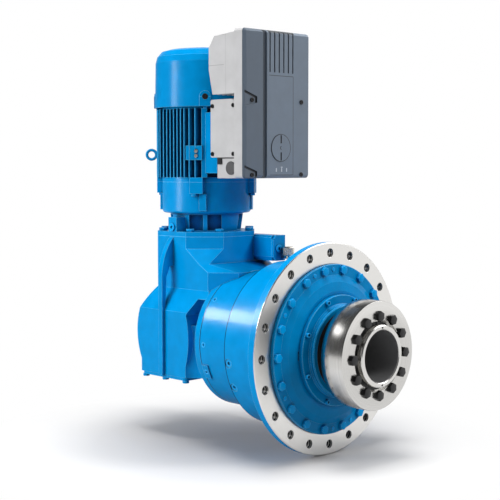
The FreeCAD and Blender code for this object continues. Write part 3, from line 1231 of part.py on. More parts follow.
def drive_screws():
    screws = []
    for y, z in [(y, z) for y in DRIVE_SCREW_YS for z in DRIVE_SCREW_ZS]:
        seat = DRIVE_FRONT_X - (SCREW_POCKET_DEPTH if y < 0 else 0)
        head = rod(DRIVE_SCREW_RADIUS, Vector(seat, y, z), 2.5)
        screws.append(head.cut(hexagon(4, Vector(seat + 1, y, z), X, 3)))
    return screws


def drive_cap():
    """The round quarter-turn cap on the front of the drive."""
    rear = DRIVE_FRONT_X - CAP_DEPTH + 0.1
    body = rod(CAP_RADIUS, Vector(rear, CAP_Y, CAP_Z), CAP_DEPTH + CAP_PROUD)
    slots = [box(DRIVE_FRONT_X - 1, DRIVE_FRONT_X + 3, CAP_Y - 1, CAP_Y + 1, CAP_Z + low, CAP_Z + low + 16)
             for low in (9, -25)]
    return body.cut(group(slots))


def terminal_box():
    half = TERMINAL_HALF_WIDTH - TERMINAL_PLATE
    upper = box(TERMINAL_REAR_X, DRIVE_SIDE_REAR_X, -half, half, TERMINAL_BOTTOM_Z, TERMINAL_TOP_Z)
    lower = box(ENTRY_REAR_X, DRIVE_SIDE_REAR_X, -half, half, DRIVE_BOTTOM_Z, TERMINAL_BOTTOM_Z)
    room = box(TERMINAL_REAR_X + 5, DRIVE_SIDE_REAR_X - 5, -half - 1, half + 1,
               TERMINAL_BOTTOM_Z + 5, TERMINAL_TOP_Z - 5)
    return upper.fuse(lower).removeSplitter().cut(room)


def terminal_cover(side):
    y = -TERMINAL_HALF_WIDTH if side < 0 else TERMINAL_HALF_WIDTH - TERMINAL_PLATE
    plate = box(TERMINAL_REAR_X, DRIVE_SIDE_REAR_X - DRIVE_GAP, y, y + TERMINAL_PLATE,
                TERMINAL_BOTTOM_Z, TERMINAL_TOP_Z)
    edges = [edge for edge in plate.Edges if abs(edge.tangentAt(edge.FirstParameter).y) > 0.9]
    top_front = [edge for edge in edges if edge.BoundBox.ZMin > TERMINAL_TOP_Z - 1
                 and edge.BoundBox.XMin > TERMINAL_REAR_X + 1]
    others = [edge for edge in edges if edge.hashCode() != top_front[0].hashCode()]
    plate = plate.makeFillet(TERMINAL_CORNER, others)
    edges = [edge for edge in plate.Edges if abs(edge.tangentAt(edge.FirstParameter).y) > 0.9
             and edge.BoundBox.ZMin > TERMINAL_TOP_Z - 1
             and edge.BoundBox.XMin > TERMINAL_REAR_X + TERMINAL_CORNER + 1]
    return plate.makeFillet(TERMINAL_TOP_CORNER, edges)


def terminal_screws():
    screws = []
    for side in (-1, 1):
        for x in (TERMINAL_REAR_X + 6, DRIVE_SIDE_REAR_X - 6):
            for z in (TERMINAL_BOTTOM_Z + 7, TERMINAL_TOP_Z - 13):
                seat = Vector(x, side * TERMINAL_HALF_WIDTH, z)
                screws.append(rod(4.2, seat, 2.2, Y * side).cut(
                    hexagon(3.5, seat + Y * side * 1.0, Y * side, 3)))
    return screws


def entry_plugs():
    plugs = []
    for side in (-1, 1):
        seat = Vector(ENTRY_PLUG_X, side * (TERMINAL_HALF_WIDTH - TERMINAL_PLATE), ENTRY_PLUG_Z)
        plugs.append(rod(ENTRY_PLUG_RADIUS, seat - Y * side, 3, Y * side))
    return plugs


def shield_arms():
    """Arms on the fan-side end shield that carry the fan cover."""
    arm = box(FAN_RADIUS + 4, FAN_COVER_RADIUS - FAN_COVER_WALL - 0.5, -3.5, 3.5,
              FRAME_TOP_Z, FAN_SCREW_Z + 7)
    foot = box(FAN_RADIUS - 10, FAN_RADIUS + 8, -5, 5, FRAME_TOP_Z, FRAME_TOP_Z + 10)
    arm = arm.fuse(foot)
    arm.translate(MOTOR_AXIS)
    return around(arm, spaced(4, FAN_SCREW_ANGLE), Z, MOTOR_AXIS)


def fan_cover_screws():
    seat = Vector(FAN_COVER_RADIUS + 1.5, 0, FAN_SCREW_Z)
    screw = rod(3.2, seat - X * 16, 14).fuse(rod(6, seat - X * 2, 2.5))
    screw = screw.cut(hexagon(5, seat - X * 0.8, X, 4))
    screw.translate(MOTOR_AXIS)
    return around(screw, spaced(4, FAN_SCREW_ANGLE), Z, MOTOR_AXIS)


def radial_rod(x, angle, radius, outer, length):
    """A rod square to the X axis, whose outer end lies at a radius."""
    return turn(rod(radius, Vector(x, 0, outer - length), length, Z), angle)


def plug_with_socket(x, angle, radius, outer, length):
    """A screwed plug with a hexagon socket."""
    socket = turn(hexagon(radius, Vector(x, 0, outer - radius / 2), Z, radius), angle)
    return radial_rod(x, angle, radius, outer, length).cut(socket)


def collared_plug(seat, axis):
    """A screwed plug with a round collar and a hexagon socket."""
    radius = LIFTING_HOLE_RADIUS
    stem = rod(radius, seat - axis * (LIFTING_HOLE_DEPTH - 2), LIFTING_HOLE_DEPTH - 2, axis)
    collar = rod(COLLAR_RADIUS, seat, COLLAR_HEIGHT, axis)
    return stem.fuse(collar).cut(hexagon(radius, seat, axis, COLLAR_HEIGHT + 1))


def winding(z):
    return turned([(z, 52), (z, 68), (z + 3, 72), (z + WINDING_HEIGHT - 4, 71),
                   (z + WINDING_HEIGHT, 66), (z + WINDING_HEIGHT, 54), (z + 3, 49)], Z, MOTOR_AXIS)


def control_board():
    x = DRIVE_SIDE_REAR_X + DRIVE_WALL
    reach_y = DRIVE_HALF_WIDTH - 22
    low, high = DRIVE_BOTTOM_Z + 26, DRIVE_TOP_Z - 26
    front = x + BOARD_STANDOFF + BOARD_THICKNESS
    board = box(x + BOARD_STANDOFF, front, -reach_y, reach_y, low, high)
    posts = [rod(4, Vector(x, y, z), BOARD_STANDOFF)
             for y in (8 - reach_y, reach_y - 8) for z in (low + 8, high - 8)]
    chips = [box(front - 1, front + height, y, y + wide, z, z + tall)
             for height, y, wide, z, tall in BOARD_CHIPS]
    return fused([board] + posts + chips)


# Fixed pieces, from the output side to the motor and the drive

parts["output_housing"] = output_housing()
parts["output_cover"] = output_cover()
parts["seal_cover"] = seal_cover()
parts["first_stage_housing"] = first_housing()
parts["bevel_housing"] = bevel_housing()
parts["bottom_cover"] = bottom_cover()
parts["breather_end_plate"] = block_end_plate()
parts["breather"] = breather()
parts["motor_adapter"] = motor_adapter()
parts["second_ring_gear"] = ring_gear(SECOND_MODULE, SECOND_RING_OUTER, SECOND_RING_REAR,
                                      -PILOT_DEPTH - SECOND_RING_REAR)
first_ring_x = FIRST_HOUSING_REAR + FIRST_PILOT_DEPTH
parts["first_ring_gear"] = ring_gear(FIRST_MODULE, FIRST_RING_OUTER, first_ring_x,
                                     FIRST_WEB_REAR - first_ring_x)

# Output shaft body

parts["output_shaft"] = output_shaft()
parts["second_planet_pins"] = second_pins()
parts["shrink_disc_inner_ring"] = shrink_inner_ring()
parts["shrink_disc_outer_ring"] = shrink_outer_ring()
parts["shrink_disc_bolts"] = group(shrink_bolts())
cut_by(["shrink_disc_outer_ring"], parts["shrink_disc_bolts"])

main_bearing = roller_bearing(SHAFT_BEARING_RADIUS, MAIN_BEARING_OUTER, MAIN_BEARING_X,
                              MAIN_BEARING_WIDTH, MAIN_ROLLERS)
rear_bearing = roller_bearing(REAR_BEARING_INNER, REAR_BEARING_OUTER, REAR_BEARING_X,
                              REAR_BEARING_WIDTH, REAR_ROLLERS)
parts["output_bearing_inner_rings"] = group([main_bearing[0], rear_bearing[0]])
parts["output_bearing_rollers"] = group([main_bearing[2], rear_bearing[2]])

# Planets of both stages

for letter, (angle, centre) in zip("abc", planet_places(SECOND_MODULE)):
    parts["second_planet_" + letter] = planet_gear(
        SECOND_MODULE, SECOND_PIN_RADIUS + RUNNING_FIT, SECOND_PLANET_REAR,
        SECOND_PLANET_WIDTH, angle, centre)
for letter, (angle, centre) in zip("abc", planet_places(FIRST_MODULE)):
    parts["first_planet_" + letter] = planet_gear(
        FIRST_MODULE, FIRST_PIN_RADIUS + RUNNING_FIT, FIRST_PLANET_REAR,
        FIRST_PLANET_WIDTH, angle, centre)

# First carrier body

parts["first_carrier"] = first_carrier()
parts["first_planet_pins"] = first_pins()
parts["second_sun_gear"] = second_sun()
carrier_bearing = bearing(FIRST_HUB_RADIUS, FIRST_BEARING_OUTER, Vector(FIRST_BEARING_X, 0, 0),
                          FIRST_BEARING_WIDTH)
parts["carrier_bearing_inner_ring"] = carrier_bearing[0]

# Input shaft body

parts["input_sun_shaft"] = input_shaft()
wheel = bevel_gear(WHEEL_TEETH, PINION_TEETH, INPUT_SHAFT_RADIUS, 10, 0.0, BEVEL_BACKLASH)
wheel.translate(MOTOR_AXIS)
parts["bevel_wheel"] = wheel
input_bearings = [bearing(INPUT_SHAFT_RADIUS, INPUT_BEARING_OUTER, Vector(x, 0, 0),
                          INPUT_BEARING_WIDTH) for x in INPUT_BEARING_XS]
parts["input_bearing_inner_rings"] = group(pair[0] for pair in input_bearings)

# Pinion and motor shaft body

pinion = bevel_gear(PINION_TEETH, WHEEL_TEETH, PINION_SHAFT_RADIUS, 8,
                    math.pi / PINION_TEETH, BEVEL_BACKLASH)
pinion = turn(pinion, -90, Y)
pinion.translate(MOTOR_AXIS)
pinion_stem = rod(PINION_SHAFT_RADIUS, Vector(MOTOR_AXIS_X, 0, PINION_STEM_Z),
                  COUPLING_BOTTOM_Z + COUPLING_HUB - PINION_STEM_Z, Z)
parts["pinion_shaft"] = fused([pinion, pinion_stem])
pinion_bearings = [bearing(PINION_SHAFT_RADIUS, PINION_BEARING_OUTER, Vector(MOTOR_AXIS_X, 0, z),
                           PINION_BEARING_WIDTH, Z) for z in PINION_BEARING_ZS]
pinion_seal = ring(PINION_BEARING_OUTER, PINION_SHAFT_RADIUS + RUNNING_FIT,
                   Vector(MOTOR_AXIS_X, 0, PINION_SEAL_Z), PINION_SEAL_HEIGHT, Z)
parts["shaft_seals"] = group([shaft_seal(), pinion_seal])
lower_hub, upper_hub, spider = coupling()
parts["coupling_hubs"] = group([lower_hub, upper_hub])
parts["coupling_spider"] = spider

# Motor

lower_shield, lower_seat = end_shield(BELL_TOP_Z, SHIELD_TOP_Z - BELL_TOP_Z, 1)
shield_lug = bell_lug(BELL_TOP_Z, SHIELD_TOP_Z - BELL_TOP_Z)
parts["motor_end_shield"] = fused([lower_shield] + around(shield_lug, spaced(4, LUG_ANGLE), Z, MOTOR_AXIS))
upper_shield, upper_seat = end_shield(FRAME_TOP_Z, 10, -1)
parts["fan_end_shield"] = fused([upper_shield] + shield_arms())
parts["motor_frame"] = motor_frame()
core = ring(FRAME_BORE_RADIUS, STATOR_BORE_RADIUS,
            Vector(MOTOR_AXIS_X, 0, STATOR_BOTTOM_Z), STATOR_LENGTH, Z)
parts["wound_stator"] = group([core, winding(STATOR_BOTTOM_Z - WINDING_HEIGHT),
                               winding(STATOR_BOTTOM_Z + STATOR_LENGTH)])
high_z = COUPLING_BOTTOM_Z + COUPLING_HUB + SPIDER_HEIGHT
parts["motor_shaft"] = rod(MOTOR_SHAFT_RADIUS, Vector(MOTOR_AXIS_X, 0, high_z),
                           FAN_BOTTOM_Z + FAN_HEIGHT + 2 - high_z, Z)
parts["rotor_core"] = ring(STATOR_BORE_RADIUS - ROTOR_GAP, MOTOR_SHAFT_RADIUS,
                           Vector(MOTOR_AXIS_X, 0, STATOR_BOTTOM_Z), STATOR_LENGTH, Z)
motor_bearings = [bearing(MOTOR_SHAFT_RADIUS, MOTOR_BEARING_OUTER, Vector(MOTOR_AXIS_X, 0, z),
                          MOTOR_BEARING_WIDTH, Z) for z in (lower_seat, upper_seat)]
parts["upright_bearing_inner_rings"] = group(pair[0] for pair in pinion_bearings + motor_bearings)
parts["bearing_outer_rings"] = group(
    [main_bearing[1], rear_bearing[1]]
    + [pair[1] for pair in [carrier_bearing] + input_bearings + pinion_bearings + motor_bearings])
parts["fan"] = fan()
parts["fan_cover"] = fan_cover()
cut_by(["fan_end_shield", "fan_cover"], group(fan_cover_screws()))
parts["lifting_eye"] = eyebolt(-135, 384)
cut_by(["motor_frame"], parts["lifting_eye"])

# Terminal box and drive

parts["terminal_box"] = terminal_box()
parts["terminal_box_covers"] = group([terminal_cover(-1), terminal_cover(1)])
cut_by(["terminal_box", "terminal_box_covers"], group(terminal_screws()))
parts["cable_entry_plugs"] = group(entry_plugs())
cut_by(["terminal_box"], parts["cable_entry_plugs"])
parts["drive_heatsink"] = heatsink()
parts["drive_base"] = drive_base()
parts["drive_cover"] = drive_cover()
cut_by(["drive_cover", "drive_base"], group(drive_screws()))
parts["enclosure_screws"] = group(fan_cover_screws() + terminal_screws() + drive_screws())
parts["drive_cap"] = drive_cap()
parts["control_board"] = control_board()

# Fasteners and plugs of the gearbox

cover_bolt = hex_bolt(M10, top_point(COVER_PLATE, COVER_BOLT_CIRCLE), X, COVER_BOLT_DEPTH)
parts["cover_bolts"] = group(around(cover_bolt, spaced(COVER_BOLTS, 10)))
cut_by(["output_cover", "output_housing"], parts["cover_bolts"])
cover_plug = rod(COVER_PLUG_RADIUS, top_point(2, COVER_BOLT_CIRCLE), COVER_PLUG_LENGTH)
cover_plugs = around(cover_plug, COVER_PLUG_ANGLES)
cut_by(["output_cover"], group(cover_plugs))
seal_screw = socket_screw(SEAL_SCREW_RADIUS, top_point(CONE_RIM_X + SEAL_COVER_THICKNESS,
                                                       SEAL_SCREW_CIRCLE), X, SEAL_SCREW_DEPTH)
parts["seal_cover_screws"] = group(around(seal_screw, spaced(SEAL_SCREWS, 22.5)))
cut_by(["seal_cover", "output_cover"], parts["seal_cover_screws"])
bolt_seat_x = BODY_FLANGE_REAR + HOUSING_BOLT_SINK
housing_bolt = socket_screw(HOUSING_BOLT_RADIUS, top_point(bolt_seat_x, HOUSING_BOLT_CIRCLE), -X,
                            OUTPUT_HOUSING_REAR + HOUSING_BOLT_REACH - bolt_seat_x)
parts["housing_bolts"] = group(around(housing_bolt, HOUSING_BOLT_ANGLES))
counterbore = rod(SCREW_HEAD_RATIO * HOUSING_BOLT_RADIUS,
                  top_point(BODY_FLANGE_REAR - 1, HOUSING_BOLT_CIRCLE), HOUSING_BOLT_SINK + 1)
cut_by(["bevel_housing"], group(around(counterbore, HOUSING_BOLT_ANGLES)))
cut_by(["bevel_housing", "first_stage_housing", "output_housing"], parts["housing_bolts"])
cut_by(["bottom_cover", "bevel_housing"], group(bottom_bolts()))
adapter_bolts = [hex_bolt(M10, Vector(MOTOR_AXIS_X + side * x, side * y, HEAD_FACE_Z), Z,
                          ADAPTER_BOLT_DEPTH) for side in (1, -1) for x, y in ADAPTER_BOLT_PLACES]
cut_by(["motor_adapter", "bevel_housing"], group(adapter_bolts))
lug_bolt = hex_bolt(M8, Vector(MOTOR_AXIS_X + LUG_BOLT_REACH, LUG_BOLT_OFFSET, BELL_TOP_Z - LUG_HEIGHT), -Z,
                    LUG_HEIGHT + SHIELD_TOP_Z - BELL_TOP_Z)
lug_bolts = around(lug_bolt, spaced(4, LUG_ANGLE), Z, MOTOR_AXIS)
cut_by(["motor_adapter", "motor_end_shield"], group(lug_bolts))
parts["case_bolts"] = group(bottom_bolts() + adapter_bolts + lug_bolts)
spot_radius = OUTPUT_HOUSING_RADIUS - SPOT_FACE_DEPTH
oil_plugs = [(PLUG_X, angle, OIL_PLUG_RADIUS, spot_radius, OIL_PLUG_LENGTH)
             for angle in OIL_PLUG_ANGLES]
level_tops = (LEVEL_PLUG_PROUD, LEVEL_PLUG_PROUD, LEVEL_PLUG_PROUD + LEVEL_PAD_PROUD)
level_plugs = [(LEVEL_PLUG_X, angle, LEVEL_PLUG_RADIUS, FIRST_HOUSING_RADIUS + top, LEVEL_PLUG_LENGTH)
               for angle, top in zip(LEVEL_PLUG_ANGLES, level_tops)]
for plug in oil_plugs:
    cut_by(["output_housing"], radial_rod(*plug))
    cut_by(["output_housing"], radial_rod(PLUG_X, plug[1], SPOT_FACE_RADIUS, OUTPUT_HOUSING_RADIUS + 4,
                                          SPOT_FACE_DEPTH + 4))
for plug in level_plugs:
    cut_by(["first_stage_housing"], radial_rod(*plug))
side_plugs = [plug_with_socket(*plug) for plug in oil_plugs + level_plugs]
end_plug = collared_plug(Vector(BLOCK_FRONT_X + END_PLATE, END_PLUG_Y, END_PLUG_Z), X)
lug_plug = collared_plug(lifting_hole(), -Y)
cut_by(["breather_end_plate", "bevel_housing"], end_plug)
parts["screw_plugs"] = group(cover_plugs + side_plugs + [end_plug, lug_plug])

os.makedirs("parts", exist_ok=True)
for name, shape in parts.items():
    shape.exportStep("parts/" + name + ".step")
    if not shape.isValid():
        print("invalid", name)
print(len(parts), "parts")
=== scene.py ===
"""Finishes the planetary gear reducer: paint, metal, bolts, drive front, floor, light and camera."""

import math

import bmesh
import bpy
from bpy.props import FloatProperty, FloatVectorProperty, IntProperty, PointerProperty
from mathutils import Matrix, Vector


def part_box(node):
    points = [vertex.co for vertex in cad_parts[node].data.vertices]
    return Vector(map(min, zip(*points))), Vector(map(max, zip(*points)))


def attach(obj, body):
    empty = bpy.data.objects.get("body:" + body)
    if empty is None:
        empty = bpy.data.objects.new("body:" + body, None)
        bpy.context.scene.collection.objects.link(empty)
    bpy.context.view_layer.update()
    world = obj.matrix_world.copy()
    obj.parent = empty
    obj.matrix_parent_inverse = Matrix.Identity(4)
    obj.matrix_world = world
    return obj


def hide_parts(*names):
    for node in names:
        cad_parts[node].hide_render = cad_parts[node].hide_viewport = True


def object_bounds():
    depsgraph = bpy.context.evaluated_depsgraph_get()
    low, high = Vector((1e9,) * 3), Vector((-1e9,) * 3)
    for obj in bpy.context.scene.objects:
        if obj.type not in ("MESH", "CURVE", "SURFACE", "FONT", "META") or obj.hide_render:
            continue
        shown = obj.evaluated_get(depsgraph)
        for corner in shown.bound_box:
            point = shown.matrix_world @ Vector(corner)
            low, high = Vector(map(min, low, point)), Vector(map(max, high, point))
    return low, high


bl_info = {
    "name": "Planetary gear reducer finish",
    "version": (1, 0, 0),
    "blender": (4, 5, 0),
    "location": "View3D > Sidebar > Gear reducer",
    "description": "Finishes, fasteners, stage and camera for the planetary gear reducer",
    "category": "Object",
}

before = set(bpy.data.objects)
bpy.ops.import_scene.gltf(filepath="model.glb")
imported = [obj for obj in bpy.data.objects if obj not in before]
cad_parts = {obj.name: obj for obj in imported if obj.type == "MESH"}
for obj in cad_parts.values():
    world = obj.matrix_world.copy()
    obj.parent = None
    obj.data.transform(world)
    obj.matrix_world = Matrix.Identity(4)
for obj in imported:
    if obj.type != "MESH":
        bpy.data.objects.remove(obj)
CAD_LOW, CAD_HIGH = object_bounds()

MM = 0.001
X = Vector((1, 0, 0))
Z = Vector((0, 0, 1))


def middle(node):
    low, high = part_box(node)
    return (low + high) / 2


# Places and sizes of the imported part

MOTOR_AXIS = Vector((middle("motor_shaft").x, 0, 0))
COVER_HEAD = 6.4 * MM
COVER_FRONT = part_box("cover_bolts")[1].x - COVER_HEAD
FLANGE_HOLES = 20
FLANGE_CIRCLE = 190 * MM
THREAD_END = -12.5 * MM
SHAFT_BORE = 50 * MM
SHAFT_HOLES = 55 * MM
DRIVE_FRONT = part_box("drive_cover")[1].x
CAP_CENTRE = middle("drive_cap")

# Marks on the drive's front, in millimetres: lowest and highest Y, lowest and highest Z

PANEL_JOINTS = ((-26, 44.6, 541.4, 542.8), (-24, 44.6, 340.8, 342.2), (43.8, 45.2, 341, 542))
TICK_BAR = (8.6, 13.4, 356.5, 358.2)
TICKS = [(y - 1.1, y + 1.1, 348, 355.5) for y in (-4.8, 11, 25.5)]

# Its groove, vents and screw pockets: middle and half width in Y, and heights in Z

GROOVE_Y, GROOVE_HALF = -38.5 * MM, 6 * MM
VENTS_Y, VENTS_HALF, VENTS_FOOT = 10 * MM, 38 * MM, 546 * MM
POCKET_HEIGHTS = (491 * MM, 342 * MM)

# Colours for painted highlights along edges, dark joints and painted shade

EDGE_HIGHLIGHT_BLUE = (0.22, 0.72, 1.0)
PAINTED_SHADE_BLUE = (0.0, 0.022, 0.075)
JOINT_BLUE = (0.0, 0.015, 0.045)
NEAR_BLACK = (0.008, 0.009, 0.011)
WHITE = (1, 1, 1, 1)

ENAMEL_COAT = 0.045


# Sizes and colours a user would change

class PaintSettings(bpy.types.PropertyGroup):
    """Colours and texture of the painted and bare surfaces."""

    blue: FloatVectorProperty(
        name="Blue enamel", description="Colour of the painted castings", subtype="COLOR",
        size=3, min=0, max=1, default=(0.0, 0.285, 0.67))
    steel: FloatVectorProperty(
        name="Turned steel", description="Colour of the machined flange and shrink disc",
        subtype="COLOR", size=3, min=0, max=1, default=(0.68, 0.67, 0.65))
    black: FloatVectorProperty(
        name="Black oxide", description="Colour of the blackened bolts", subtype="COLOR",
        size=3, min=0, max=1, default=(0.016, 0.016, 0.017))
    slate: FloatVectorProperty(
        name="Drive cover", description="Colour of the drive's moulded front", subtype="COLOR",
        size=3, min=0, max=1, default=(0.165, 0.205, 0.258))
    silver: FloatVectorProperty(
        name="Cast aluminium", description="Colour of the drive's base and terminal box",
        subtype="COLOR", size=3, min=0, max=1, default=(0.55, 0.55, 0.555))
    grain: FloatProperty(
        name="Casting grain", description="Width of the bumps in the paint over cast iron",
        default=2.2 * MM, min=0.0005, max=0.02, unit="LENGTH")


class FastenerSettings(bpy.types.PropertyGroup):
    """Sizes of the bolt heads and of the shrink disc's ring."""

    cover_flats: FloatProperty(
        name="Cover bolt width", description="Width across the flats of the cover bolts",
        default=16 * MM, unit="LENGTH")
    cover_count: IntProperty(
        name="Cover bolts", description="Bolts round the output cover", default=18, min=3)
    cover_circle: FloatProperty(
        name="Cover bolt circle", description="Radius of the circle of cover bolts",
        default=157.5 * MM, unit="LENGTH")
    clamp_flats: FloatProperty(
        name="Clamp bolt width", description="Width across the flats of the shrink disc's bolts",
        default=18 * MM, unit="LENGTH")
    clamp_count: IntProperty(
        name="Clamp bolts", description="Bolts in the shrink disc", default=12, min=3)
    clamp_circle: FloatProperty(
        name="Clamp bolt circle", description="Radius of the circle of shrink disc bolts",
        default=76 * MM, unit="LENGTH")
    ring_reach: FloatProperty(
        name="Ring reach", description="How far the shrink disc's ring reaches behind its seat",
        default=15 * MM, min=0, unit="LENGTH")
    ring_round: FloatProperty(
        name="Ring rounding", description="Radius of the ring's rear edge",
        default=24 * MM, min=0.001, unit="LENGTH")


class StageSettings(bpy.types.PropertyGroup):
    """Camera and floor."""

    lens: FloatProperty(
        name="Lens", description="Focal length on a 36 mm sensor", default=85.58, min=20, max=300)
    turn: FloatProperty(
        name="Camera turn", description="Angle of the camera round the object from the front",
        default=math.radians(45.435), subtype="ANGLE", unit="ROTATION")
    tilt: FloatProperty(
        name="Camera tilt", description="Angle of the camera below the horizon",
        default=math.radians(4.046), subtype="ANGLE", unit="ROTATION")
    camera_place: FloatVectorProperty(
        name="Camera place", description="Where the camera stands", subtype="TRANSLATION",
        size=3, unit="LENGTH", default=(1.5457, -1.7432, 0.3599))
    floor_gap: FloatProperty(
        name="Floor gap", description="Distance of the floor below the flange's lowest point",
        default=1 * MM, min=0, unit="LENGTH")


# Shader nodes

def feed(tree, target, value):
    """Links a socket to an input, or sets the input to a plain value."""
    if isinstance(value, bpy.types.NodeSocket):
        tree.links.new(value, target)
    else:
        target.default_value = value


def add(tree, kind, inputs=None, **settings):
    """Adds one shader node, sets its options and feeds its inputs."""
    node = tree.nodes.new("ShaderNode" + kind)
    for name, value in settings.items():
        setattr(node, name, value)
    for name, value in (inputs or {}).items():
        feed(tree, node.inputs[name], value)
    return node


def math_node(tree, operation, first, second=0.0):
    return add(tree, "Math", {0: first, 1: second}, operation=operation).outputs[0]


def minus(tree, first, second):
    return math_node(tree, "SUBTRACT", first, second)


def size_of(tree, value):
    return math_node(tree, "ABSOLUTE", value)


def scaled_sum(tree, first, factor, second):
    """The first value times a factor, plus the second."""
    inputs = {0: first, 1: factor, 2: second}
    return add(tree, "Math", inputs, operation="MULTIPLY_ADD").outputs[0]


def length_of(tree, first, second):
    """The length of a flat vector."""
    square = math_node(tree, "MULTIPLY", first, first)
    return math_node(tree, "SQRT", scaled_sum(tree, second, second, square))


def between(tree, value, low, high):
    """A mask that rises from 0 at low to 1 at high."""
    node = add(tree, "MapRange", {"Value": value, "From Min": low, "From Max": high})
    return node.outputs["Result"]


def product(tree, first, *others):
    for other in others:
        first = math_node(tree, "MULTIPLY", first, other)
    return first


def largest(tree, first, *others):
    for other in others:
        first = math_node(tree, "MAXIMUM", first, other)
    return first


def near(tree, value, centre, half, soft=0.15 * MM):
    """1 where the value lies within half of the centre, else 0."""
    off = size_of(tree, minus(tree, value, centre))
    return between(tree, off, half + soft, half - soft)


def rectangle(tree, place, mark):
    """1 inside a mark on the drive's front, else 0."""
    y0, y1, z0, z1 = (edge * MM for edge in mark)
    return product(tree, near(tree, place["Y"], (y0 + y1) / 2, (y1 - y0) / 2),
                   near(tree, place["Z"], (z0 + z1) / 2, (z1 - z0) / 2))


def own_place(tree):
    """The place in the object's own coordinates."""
    return add(tree, "TexCoord").outputs["Object"]


def separated(tree):
    """The place in the object's own coordinates, as X, Y and Z."""
    return add(tree, "SeparateXYZ", {"Vector": own_place(tree)}).outputs


def blend_colour(tree, mask, first, second):
    node = add(tree, "Mix", {"Factor": mask}, data_type="RGBA")
    feed(tree, node.inputs[6], first)
    feed(tree, node.inputs[7], second)
    return node.outputs[2]


def blend_value(tree, mask, first, second):
    node = add(tree, "Mix", {"Factor": mask, "A": first, "B": second}, data_type="FLOAT")
    return node.outputs["Result"]


def rgba(colour, scale=1.0):
    return (colour[0] * scale, colour[1] * scale, colour[2] * scale, 1.0)


def noise(tree, place, scale, detail, roughness=0.5):
    inputs = {"Vector": place, "Scale": scale, "Detail": detail, "Roughness": roughness}
    return add(tree, "TexNoise", inputs).outputs["Fac"]


def edge_normal(tree, radius):
    """A normal that rounds the edges of a piece."""
    return add(tree, "Bevel", {"Radius": radius}, samples=4).outputs["Normal"]


def soft_edge(tree, height, strength, distance, radius):
    """A normal with rounded edges and a bumped surface."""
    inputs = {"Strength": strength, "Distance": distance, "Height": height,
              "Normal": edge_normal(tree, radius)}
    return add(tree, "Bump", inputs).outputs["Normal"]


def edge_highlight_mask(tree, radius):
    """Where highlights are painted: 1 along the edges of a piece and 0 on its flats."""
    true = add(tree, "NewGeometry").outputs["Normal"]
    dot = add(tree, "VectorMath", {0: edge_normal(tree, radius), 1: true}, operation="DOT_PRODUCT")
    return between(tree, dot.outputs["Value"], 0.995, 0.93)


def painted_shade_mask(tree, reach, full):
    """Where shade is painted: 1 deep in corners and between ribs, 0 on open faces."""
    shade = add(tree, "AmbientOcclusion", {"Distance": reach}, samples=6).outputs["AO"]
    return between(tree, shade, 0.80, full)


def round_tangent(tree):
    """The direction of lathe grooves, round the X axis."""
    cross = add(tree, "VectorMath", {0: X, 1: own_place(tree)}, operation="CROSS_PRODUCT")
    return cross.outputs["Vector"]


def new_group(name, given, values):
    """An empty node group with number sockets, and its input and output sockets."""
    tree = bpy.data.node_groups.new(name, "ShaderNodeTree")
    socket = tree.interface.new_socket(given, in_out="INPUT", socket_type="NodeSocketFloat")
    socket.default_value = 1 * MM
    for label in values:
        tree.interface.new_socket(label, in_out="OUTPUT", socket_type="NodeSocketFloat")
    start, end = tree.nodes.new("NodeGroupInput"), tree.nodes.new("NodeGroupOutput")
    return tree, start.outputs, end.inputs


def cast_skin():
    """Uneven paint over a sand casting: fine bumps and wide waves, and a mask of the waves."""
    tree, given, out = new_group("Cast skin", "Grain", ("Height", "Shade"))
    place = own_place(tree)
    fine = noise(tree, place, math_node(tree, "DIVIDE", 1.0, given["Grain"]), 3.0, 0.55)
    wide = noise(tree, place, 38.0, 2.0)
    feed(tree, out["Height"], scaled_sum(tree, wide, 1.4, fine))
    feed(tree, out["Shade"], between(tree, wide, 0.3, 0.7))
    return tree


def turned_rings():
    """Fine grooves that a lathe leaves round the X axis, and how far out and along it a point is."""
    tree, given, out = new_group("Turned rings", "Pitch", ("Height", "Shade", "Radius", "Along"))
    place = own_place(tree)
    parts = add(tree, "SeparateXYZ", {"Vector": place}).outputs
    radius = length_of(tree, parts["Y"], parts["Z"])
    flat = add(tree, "CombineXYZ", {"X": radius, "Y": parts["X"]}).outputs["Vector"]
    feed(tree, out["Height"], noise(tree, flat, math_node(tree, "DIVIDE", 1.0, given["Pitch"]), 2.0))
    feed(tree, out["Shade"], noise(tree, place, 14.0, 3.0))
    feed(tree, out["Radius"], radius)
    feed(tree, out["Along"], parts["X"])
    return tree


def place_group(tree, group, **values):
    node = add(tree, "Group", values, node_tree=group)
    return node.outputs


# Materials

class Finish:
    """One material, with short ways to feed its shader and to paint over its colour."""

    def __init__(self, name):
        self.material = bpy.data.materials.new(name)
        self.material.use_nodes = True
        self.tree = self.material.node_tree
        self.shader = self.tree.nodes["Principled BSDF"]

    def feed(self, inputs):
        for name, value in inputs.items():
            feed(self.tree, self.shader.inputs[name], value)

    def fed(self, name):
        """What one of the shader's inputs is linked to."""
        return self.shader.inputs[name].links[0].from_socket

    def paint_over(self, mask, colour, strength=1.0):
        """Puts a colour over the base colour, where the mask is 1."""
        if strength < 1.0:
            mask = product(self.tree, mask, strength)
        over = blend_colour(self.tree, mask, self.fed("Base Color"), rgba(colour))
        self.feed({"Base Color": over})


